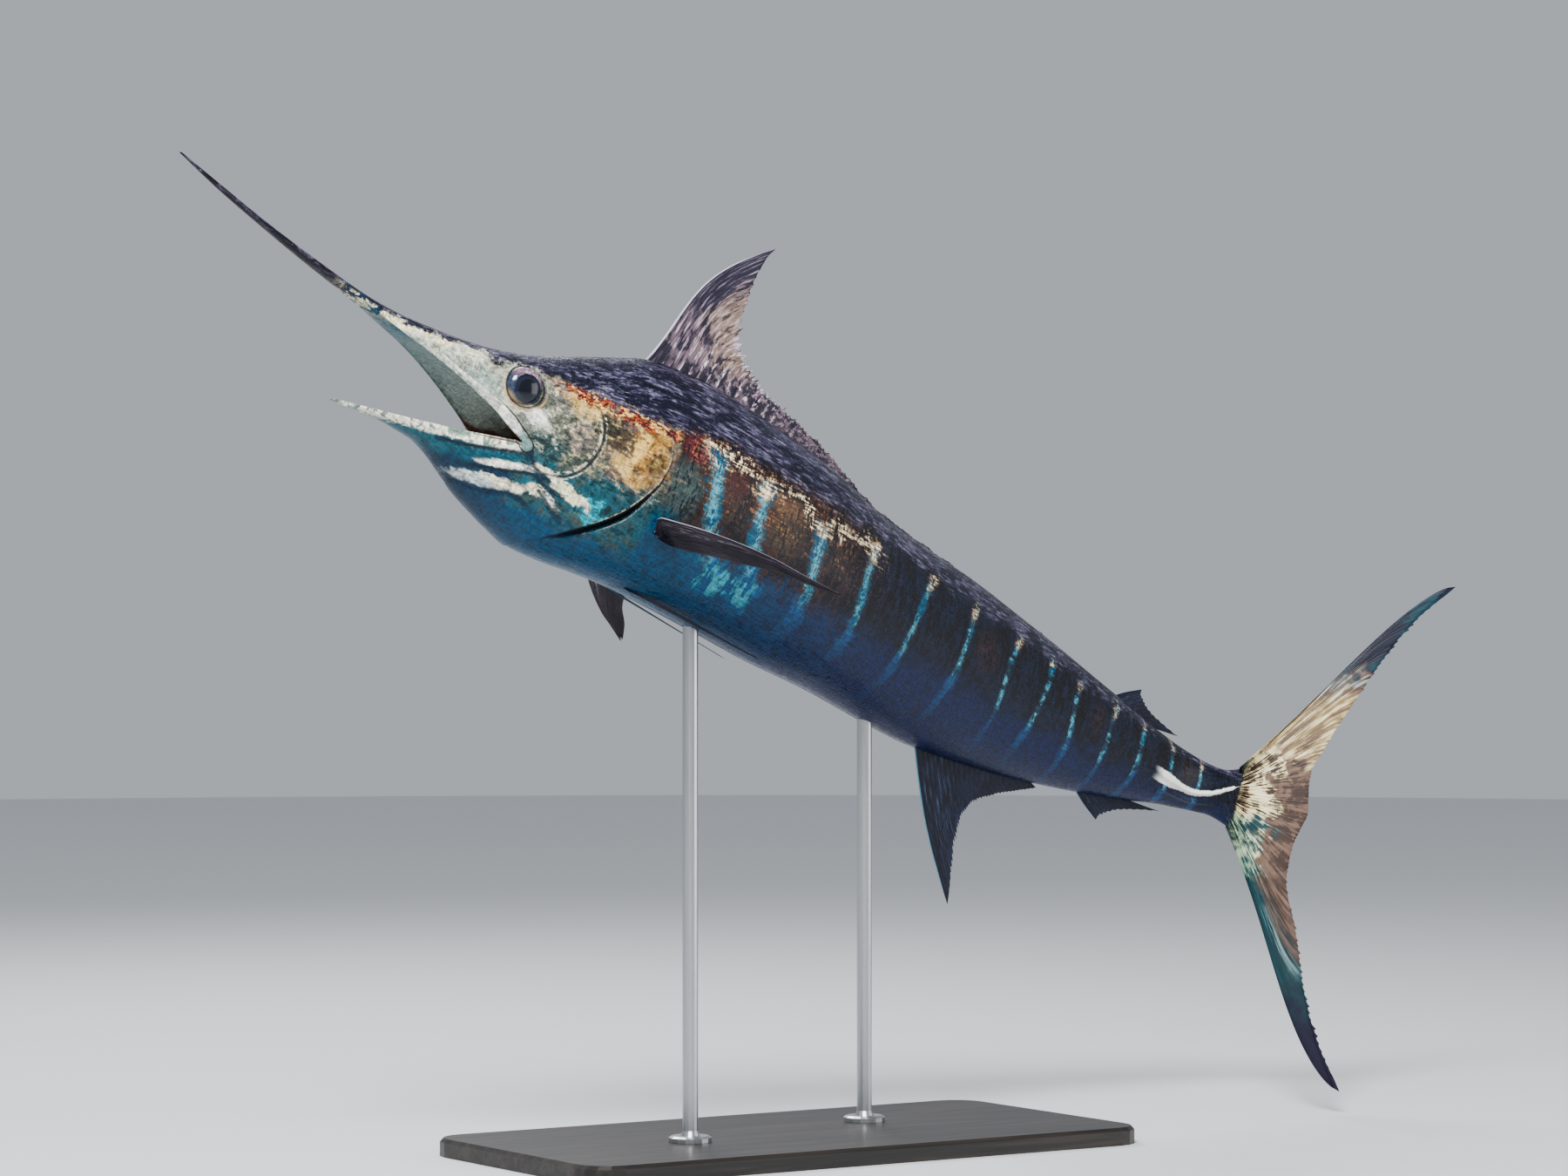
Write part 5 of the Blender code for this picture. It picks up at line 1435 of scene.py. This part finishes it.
@dataclass
class FinSheet:
    """A fin's membrane with its rays as ridges in both faces.

    k runs from 0 at the leading ray to 1 at the last ray, and r from 0 at the root to 1 at the edge.
    """

    rays: int
    rows: int
    per_ray: int = 6
    branch: float = 0.5
    notch: float = 0.05
    ragged: float = 0.03
    ridge_share: float = 0.45
    seed: int = 1

    def mesh(self, name: str, shape: Any) -> Mesh:
        """Makes the fin.

        Args:
            name: the mesh's name.
            shape: the fin's middle, half-thickness and straight places.

        Returns:
            One closed mesh with the attributes own and ray.
        """
        columns = (self.rays - 1) * self.per_ray + 1
        k, r = np.meshgrid(np.linspace(0, 1, columns), np.linspace(0, 1, self.rows + 1), indexing="ij")
        phase = k * (self.rays - 1)
        single, double = ((0.5 + 0.5 * np.cos(turns * np.pi * phase)) ** 1.3 for turns in (2, 4))
        forked = ease(r, self.branch - 0.08, self.branch + 0.12)
        ridge = single * (1 - forked) + double * forked
        tips = np.random.default_rng(self.seed).uniform(0, 1, self.rays * 2)
        rag = np.interp(phase * 2, np.arange(self.rays * 2), tips) * self.ragged
        reach = 1 - (self.notch * (1 - ridge) + rag) * ease(r, 0.5, 1.0) * ease(k, 0.03, 0.25)
        place, normal = shape.middle(k, r * reach)
        rim = np.clip(np.minimum(k, 1 - k) * (columns - 1) / 3, 0, 1)
        end = np.clip((1 - r) * self.rows / 1.5, 0, 1)
        rounding = np.sqrt(np.clip(1 - (1 - rim) ** 2, 0.02, 1))
        rounding = rounding * (0.35 + 0.65 * np.sqrt(np.clip(1 - (1 - end) ** 2, 0, 1)))
        half = shape.half(k, r) * (1 - self.ridge_share + self.ridge_share * ridge) * rounding
        half = half[..., None] * normal
        points = np.concatenate([(place + half).reshape(-1, 3), (place - half).reshape(-1, 3)])
        n = np.arange(k.size).reshape(k.shape)
        m = n + k.size
        faces = [self.quads(n), self.quads(m)[:, ::-1]]
        for line, other in ((n[0], m[0]), (n[-1][::-1], m[-1][::-1]), (n[:, -1], m[:, -1]),
                            (n[::-1, 0], m[::-1, 0])):
            faces.append(np.stack([line[:-1], other[:-1], other[1:], line[1:]], -1)[:, ::-1])
        faces = np.concatenate(faces)
        a, b, c, d = (points[faces[:, i]] for i in range(4))
        if float((np.cross(b, c) * a).sum() + (np.cross(c, d) * a).sum()) < 0:
            faces = faces[:, ::-1]
        return mesh_from(name, points, faces, own=np.tile(shape.straight(k, r).reshape(-1, 3), (2, 1)),
                         ray=np.tile(np.stack([k, r, ridge], -1).reshape(-1, 3), (2, 1)))

    @staticmethod
    def quads(n: Array) -> Array:
        """Faces of a grid of point numbers."""
        return np.stack([n[:-1, :-1], n[1:, :-1], n[1:, 1:], n[:-1, 1:]], -1).reshape(-1, 4)


@dataclass
class FlatFin:
    """A fin on the fish's middle plane."""

    spine: Spine
    form: Form

    def middle(self, k: Array, r: Array) -> tuple[Array, Array]:
        """World points of the middle, and the unit direction across.

        Args:
            k: places from the leading to the last ray.
            r: places from the root to the edge.

        Returns:
            The points and the directions.
        """
        own = self.straight(k, r)
        points = self.spine.place(own[..., 0], own[..., 1], own[..., 2]).reshape(own.shape)
        return points, self.spine.directions(own[..., 0].ravel())[1].reshape(own.shape)


@dataclass
class MedianFin(FlatFin):
    """A fin on the back or under the belly."""

    base: Callable[[Array], Array]
    edge_s: Callable[[Array], Array]
    edge_h: Callable[[Array], Array]
    bow: float
    root_half: float = 0.0024
    below: bool = False
    wave: float = 0.0
    swell: float = 1.0
    edge_half: float = 0.0005
    sink: float = 0.0022
    waves: float = 130.0

    def straight(self, k: Array, r: Array) -> Array:
        """Straight places of the fin's middle.

        Args:
            k: places from the leading to the last ray.
            r: places from the root to the edge.

        Returns:
            Rows of station, place across and height.
        """
        sign, ground = (-1.0, self.form.belly) if self.below else (1.0, self.form.back)
        base, edge = self.base(k), self.edge_s(k)
        s = base + (edge - base) * r - self.bow * (1 - k) ** 5 * np.sin(np.pi * r ** self.swell)
        foot = ground(base) - sign * self.sink
        z = foot + (ground(edge) + sign * self.edge_h(k) - foot) * r
        y = self.wave * np.sin(k * self.waves + 2.0 * r) * r * ease(k, 0.12, 0.3)
        return np.stack([s, y, z], -1)

    def half(self, k: Array, r: Array) -> Array:
        """Half-thickness in metres."""
        return (self.root_half + (self.edge_half - self.root_half) * r ** 0.7) * (1 + 1.2 * np.exp(-k * 30))


@dataclass
class TailLobe(FlatFin):
    """Upper or lower half of the tail fin, fanning from the end of the stalk."""

    side: int
    tip: float
    bow: float
    trail: Curve
    overlap: float = 0.004
    root_half: float = 0.0030
    edge_half: float = 0.0005

    def straight(self, k: Array, r: Array) -> Array:
        """Straight places of the lobe's middle.

        Args:
            k: places from the leading to the last ray.
            r: places from the root to the edge.

        Returns:
            Rows of station, place across and height.
        """
        start = STALK_END - self.overlap
        root = self.form.back(STALK_END) * (1 - k)
        end_z = self.tip * (1 - k) ** 1.35
        rear = r ** 1.05
        bow = self.bow * rear * rear * np.sqrt(np.clip(1 - rear, 0, 1)) * (1 - k) ** 2
        s = start + (self.trail(end_z) - start) * rear - bow
        return np.stack([s, 0 * s, self.side * (root + (end_z - root) * rear)], -1)

    def half(self, k: Array, r: Array) -> Array:
        """Half-thickness in metres: as thick as the stalk at the root and thin at the edge.

        Args:
            k: places from the leading to the last ray.
            r: places from the root to the edge.

        Returns:
            One for each place.
        """
        root = self.form.width(STALK_END) * LENGTH * np.sqrt(1 - (0.97 * (1 - k)) ** 2)
        body = (root - self.root_half) * np.exp(-(r * 5.5) ** 1.4)
        thin = self.root_half + (self.edge_half - self.root_half) * r ** 0.6
        return body + thin + 0.002 * np.exp(-k * 14) * (1 - r)


@dataclass
class PairedFin:
    """A fin at the fish's side, with its rays running out to the tip.

    Its chord points towards the tail, leans to the left and dips by turn(r); hold is the share of the span
    along which the fin leaves its root's line.
    """

    spine: Spine
    side: int
    root: tuple[float, float, float]
    tip_step: tuple[float, float, float]
    chord: Curve
    lead: Curve
    turn: Callable[[Array], Array]
    lean: float
    hold: float
    root_half: float
    sink: float = 0.004
    edge_half: float = 0.0005

    def __post_init__(self) -> None:
        """Works out the fin's own directions in the world."""
        centre, left, up = (v[0] for v in self.spine.directions(self.root[0]))
        back = np.cross(left, up)
        ahead = self.spine.directions(self.root[0] + 0.01)[0][0] - centre
        self.axes = np.stack([back * np.sign(back @ ahead), left, up])
        self.span = np.array(self.tip_step) @ self.axes * LENGTH
        self.out = self.span / np.linalg.norm(self.span)
        foot = self.spine.place(self.root[0], self.side * self.root[1], self.root[2])[0]
        self.start = foot - self.out * self.sink * LENGTH

    def way(self, r: Array) -> Array:
        """Unit directions of the chord at places out along the span."""
        steps = np.stack([np.ones_like(r), np.full_like(r, self.lean), -self.turn(r)], -1) @ self.axes
        return steps / np.linalg.norm(steps, axis=-1, keepdims=True)

    def middle(self, k: Array, r: Array) -> tuple[Array, Array]:
        """World points of the middle, and the unit direction through the membrane.

        Args:
            k: places from the leading to the last ray.
            r: places from the root to the edge.

        Returns:
            The points and the directions.
        """
        across = self.way(r)
        across = across - (across @ self.out)[..., None] * self.out
        across /= np.linalg.norm(across, axis=-1, keepdims=True)
        line = self.start + r[..., None] * self.span
        free = line + ((self.lead(r) + k * self.chord(r)) * LENGTH)[..., None] * across
        held = line + (self.chord(0.0) * k * LENGTH)[..., None] * self.way(np.zeros(1))[0]
        return held + (free - held) * ease(r, 0.0, self.hold)[..., None], np.cross(self.out, across)

    def straight(self, k: Array, r: Array) -> Array:
        """Places for the noises: along the chord and along the span."""
        return np.stack([k * self.chord(r), 0 * k, r * np.linalg.norm(self.span) / LENGTH], -1)

    def half(self, k: Array, r: Array) -> Array:
        """Half-thickness in metres."""
        edge = 0.30 + 0.70 * np.sin(np.pi * np.clip(0.10 + 0.80 * k, 0, 1))
        return self.edge_half + (self.root_half - self.edge_half) * (1 - r) ** 1.4 * edge


@dataclass
class Fins:
    """All ten fins, each in place of its node."""

    spine: Spine
    form: Form
    dark: FinFinish = FinFinish(
        "fin_back", web=(0.016, 0.012, 0.030), cloudy=(0.17, 0.115, 0.15), ray=(0.46, 0.38, 0.42),
        lead=(0.55, 0.52, 0.60), lobe=(0.020, 0.016, 0.040), trail=(0.27, 0.185, 0.145),
        tip=(0.46, 0.44, 0.52), dash=(1.0, 0.93, 0.92), dash_share=0.95, rays=42)
    navy: FinFinish = FinFinish(
        "fin_belly", web=(0.004, 0.005, 0.016), cloudy=(0.010, 0.014, 0.040), ray=(0.035, 0.055, 0.100),
        lead=(0.10, 0.30, 0.40), lobe=(0.005, 0.006, 0.018), trail=(0.010, 0.012, 0.032),
        tip=(0.020, 0.025, 0.055), dash=(0.10, 0.16, 0.26), dash_share=0.4, rays=22)
    wing: FinFinish = FinFinish(
        "fin_side", web=(0.007, 0.006, 0.014), cloudy=(0.024, 0.016, 0.030), ray=(0.17, 0.125, 0.175),
        lead=(0.30, 0.30, 0.36), lobe=(0.010, 0.008, 0.018), trail=(0.050, 0.030, 0.055),
        tip=(0.030, 0.022, 0.040), dash=(0.9, 0.8, 0.85), dash_share=0.8, rays=18)

    def build(self) -> None:
        """Makes the fins in order."""
        dark, navy, wing, tail = self.dark.dress(), self.navy.dress(), self.wing.dress(), TailFinish().dress()
        steps = [0, 0.04, 0.08, 0.12, 0.17, 0.22, 0.30, 0.40, 0.50, 0.60, 0.80, 1.0]
        self.fin("dorsal_fin_first", FinSheet(43, 60, notch=0.10, ragged=0.10), dark, MedianFin(
            self.spine, self.form, lambda k: 0.2325 + 0.5025 * (0.6 * k + 0.4 * k * k),
            Curve(steps, [0.3075, 0.3025, 0.3005, 0.3025, 0.311, 0.3255, 0.353, 0.393, 0.441, 0.493, 0.607,
                          0.741]),
            Curve(steps, [0.1215, 0.110, 0.090, 0.067, 0.043, 0.0315, 0.022, 0.0165, 0.011, 0.006, 0.003,
                          0.0022]),
            0.0175, wave=0.0012, swell=1.5))
        steps = [0, 0.12, 0.25, 0.38, 0.5, 0.65, 0.8, 1.0]
        self.fin("anal_fin_first", FinSheet(22, 50, notch=0.06, ragged=0.05, seed=2), navy, MedianFin(
            self.spine, self.form, lambda k: 0.622 + 0.130 * k,
            Curve(steps, [0.711, 0.7050, 0.6990, 0.697, 0.701, 0.714, 0.734, 0.764]),
            Curve(steps, [0.112, 0.087, 0.062, 0.043, 0.031, 0.021, 0.013, 0.0035]), 0.006, below=True))
        steps = [0, 0.3, 0.6, 1.0]
        self.fin("dorsal_fin_second", FinSheet(7, 30, 10, seed=3), navy, MedianFin(
            self.spine, self.form, lambda k: 0.812 + 0.046 * k, lambda k: 0.842 + 0.052 * k ** 2.2,
            Curve(steps, [0.0205, 0.0155, 0.0100, 0.0075]), 0.002, 0.0018))
        self.fin("anal_fin_second", FinSheet(7, 30, 10, seed=4), navy, MedianFin(
            self.spine, self.form, lambda k: 0.803 + 0.048 * k, lambda k: 0.834 + 0.062 * k ** 1.8,
            Curve(steps, [0.0200, 0.0140, 0.0085, 0.0060]), 0.002, 0.0018, True))
        sheet = FinSheet(26, 90, 6, 0.32, 0.006, 0.006, 0.35, 5)
        self.fin("tail_fin_upper", sheet, tail, TailLobe(self.spine, self.form, 1, 0.219, 0.043, Curve(
            [0, 0.035, 0.057, 0.102, 0.147, 0.187, 0.219],
            [1.018, 1.013, 1.019, 1.035, 1.053, 1.072, 1.094])))
        self.fin("tail_fin_lower", sheet, tail, TailLobe(self.spine, self.form, -1, 0.218, 0.058, Curve(
            [0, 0.032, 0.053, 0.096, 0.142, 0.191, 0.218],
            [1.018, 1.012, 1.013, 1.031, 1.050, 1.075, 1.094])))
        self.paired(wing, navy)

    def paired(self, finish: Material, under: Material) -> None:
        """Makes the pectoral and pelvic fins of both sides; the right pectoral is swept back.

        Args:
            finish: the pectoral fins' material.
            under: the pelvic fins' material.
        """
        steps = [0, 0.15, 0.30, 0.5, 0.7, 0.85, 1.0]
        chord = Curve(steps, [0.0191, 0.0351, 0.0334, 0.0284, 0.0172, 0.0109, 0.0016])
        lead = np.array([0.0, -0.0233, -0.0233, -0.0204, -0.0125, -0.0003, 0.0115])
        for side, word, tip, turn, sweep, hold in (
                (1, "left", (0.0604, 0.1714, -0.0172), [0.10, 0.35, 0.35, 0.30], 1.0, 0.12),
                (-1, "right", (0.120, -0.115, -0.042), [0.10, -0.15, -0.25, -0.25], 0.4, 0.45)):
            self.fin("pectoral_fin_" + word, FinSheet(19, 80, 6, 0.4, 0.03, 0.02, seed=6), finish, PairedFin(
                self.spine, side, (0.265, 0.046, -0.0405), tip, chord, Curve(steps, lead * sweep),
                Curve([0, 0.15, 0.5, 1.0], turn), 0.0, hold, 0.0060))
            self.fin("pelvic_fin_" + word, FinSheet(4, 60, 8, 2.0, 0.05, 0.05, seed=7), under, PairedFin(
                self.spine, side, (0.278, 0.012, -0.0800), (0.125, side * 0.012, -0.0055),
                Curve([0, 0.5, 1.0], [0.007, 0.0045, 0.0008]), Curve([0, 0.5, 1.0], [0.0, -0.001, 0.0]),
                np.zeros_like, side * 0.25, 0.25, 0.0022, 0.001))

    @staticmethod
    def fin(node: str, sheet: FinSheet, finish: Material, shape: FlatFin | PairedFin) -> None:
        """Adds one fin in place of its node."""
        slot = "tail_membrane" if node.startswith("tail") else "fin_membrane"
        add("marlin_" + node, sheet.mesh(node, shape), finish, slot, node)


@dataclass
class Stand:
    """Better finishes for the stand's own solids, and the screws of its flanges."""

    screws: int = 4
    turns: int = 16
    radius: float = 0.0032
    height: float = 0.0016
    flange: float = 0.0042
    circle: float = 0.74
    rings: tuple[tuple[float, float], ...] = ((1.0, 0.0), (1.0, 0.45), (0.8, 0.85), (0.35, 1.0), (0.30, 0.4))

    def build(self) -> None:
        """Dresses the board and the rods and sets the screws."""
        board, steel, screw = (kind.dress() for kind in StandFinish)
        rods = ("stand_rod_front", "stand_rod_rear")
        for name, finish in zip(("stand_base", *rods), (board, steel, steel)):
            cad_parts[name].data.materials[0] = finish
        points, faces = [], []
        for name in rods:
            low, high = (np.array(v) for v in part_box(name))
            reach = (high[0] - low[0]) / 2 * self.circle
            for i in range(self.screws):
                angle = 2 * math.pi * (i + 0.5) / self.screws
                foot = (low + high) / 2 + reach * np.array([math.cos(angle), math.sin(angle), 0.0])
                foot[2] = low[2] + self.flange
                self.screw(foot, points, faces)
        mesh = bpy.data.meshes.new("stand_screws")
        mesh.from_pydata(points, [], faces)
        mesh.shade_smooth()
        add("marlin_stand_screws", mesh, screw, "stand_steel")

    def screw(self, foot: Array, points: list, faces: list) -> None:
        """A low domed screw head.

        Args:
            foot: its foot's middle in the world.
            points: list that takes its points.
            faces: list that takes its faces.
        """
        first, turns = len(points), self.turns
        for share, height in self.rings:
            for angle in (2 * math.pi * i / turns for i in range(turns)):
                radius = self.radius * share
                step = (radius * math.cos(angle), radius * math.sin(angle), self.height * height)
                points.append(tuple(foot + step))
        for row in range(len(self.rings) - 1):
            for i in range(turns):
                a, b = first + row * turns + i, first + row * turns + (i + 1) % turns
                faces.append((a, b, b + turns, a + turns))
        faces.append(tuple(first + 4 * turns + i for i in range(turns)))
        faces.append(tuple(first + turns - 1 - i for i in range(turns)))


@dataclass
class Studio:
    """Floor, soft lights and the camera at the photograph's angle."""

    spine: Spine
    yaw: float = 33.26
    aside: float = -0.0815
    above: float = 0.0647
    distance: float = 3.641
    focal_pixels: float = 5589.0
    image_width: float = 1800.0
    sensor: float = 36.0
    floor_radius: float = 14.0
    floor_sides: int = 96
    lamps: tuple[tuple[str, tuple[float, float, float], float, float], ...] = (  # offset, size and power
        ("key", (-2.6, -3.0, 3.8), 1.8, 400.0), ("fill", (3.4, -3.2, 0.2), 2.4, 40.0),
        ("rim", (0.6, 3.6, 3.0), 2.4, 120.0))

    def build(self) -> None:
        """Makes the stage."""
        self.floor()
        self.camera()
        self.lights()
        log.info("studio: floor, lights and camera")

    @staticmethod
    def put(name: str, data: Any) -> bpy.types.Object:
        """Adds an object of the studio to the scene.

        Args:
            name: its name.
            data: its mesh, lamp or camera.

        Returns:
            The object.
        """
        thing = bpy.data.objects.new(name, data)
        bpy.context.scene.collection.objects.link(thing)
        return thing

    def floor(self) -> None:
        """A wide pale disc under the stand."""
        ring = [(self.floor_radius * math.cos(a), self.floor_radius * math.sin(a), 0.0)
                for a in np.linspace(0, 2 * np.pi, self.floor_sides + 1)[:-1]]
        mesh = bpy.data.meshes.new("studio_floor")
        mesh.from_pydata(ring, [], [list(range(self.floor_sides))])
        mesh.materials.append(Network("studio_floor").finish(Base_Color=(0.72, 0.73, 0.74), Roughness=0.8))
        self.put("studio_floor", mesh)

    def camera(self) -> None:
        """Stands where the photograph was taken from."""
        a = math.radians(self.yaw)
        right, forward = Vector((math.cos(a), -math.sin(a), 0)), Vector((math.sin(a), math.cos(a), 0))
        up = Vector((0, 0, 1))
        look = Vector(self.spine.place(0.3, 0.0, 0.0)[0])
        lens = bpy.data.cameras.new("photo_camera")
        lens.sensor_width = self.sensor
        lens.lens = self.focal_pixels / self.image_width * self.sensor
        lens.clip_end = 100
        camera = self.put("photo_camera", lens)
        camera.location = look - (right * self.aside + up * self.above + forward * self.distance) * LENGTH
        camera.rotation_euler = Matrix((right, up, -forward)).transposed().to_euler()
        bpy.context.scene.camera = camera

    def lights(self) -> None:
        """A large key from above the camera, a soft fill and a rim, and a pale surround."""
        centre = Vector(self.spine.place(0.35, 0.0, 0.0)[0])
        for name, offset, size, power in self.lamps:
            lamp = bpy.data.lights.new("studio_" + name, "AREA")
            lamp.size, lamp.energy = size, power
            light = self.put("studio_" + name, lamp)
            light.location = centre + Vector(offset)
            light.rotation_euler = (-Vector(offset)).to_track_quat("-Z", "Y").to_euler()
        world = bpy.data.worlds.new("studio")
        world.use_nodes = True
        sky = world.node_tree.nodes["Background"]
        sky.inputs["Color"].default_value = (0.80, 0.84, 0.90, 1.0)
        sky.inputs["Strength"].default_value = 0.48
        bpy.context.scene.world = world
        bpy.context.scene.view_settings.look = "AgX - Medium High Contrast"


def main() -> None:
    """Builds the pieces in order and reports each."""
    logging.basicConfig(level=logging.INFO, format="%(message)s")
    spine, form, marks = Spine(), Form(), Marks()
    hide = Hide(spine, form, marks, Relief(marks))
    skin = SkinFinish().dress()
    hide.build(skin)
    Scales(hide).build(skin)
    Eyes(spine).build(EyeFinish().dress())
    Fins(spine, form).build()
    Stand().build()
    Studio(spine).build()


if __name__ == "__main__":
    main()
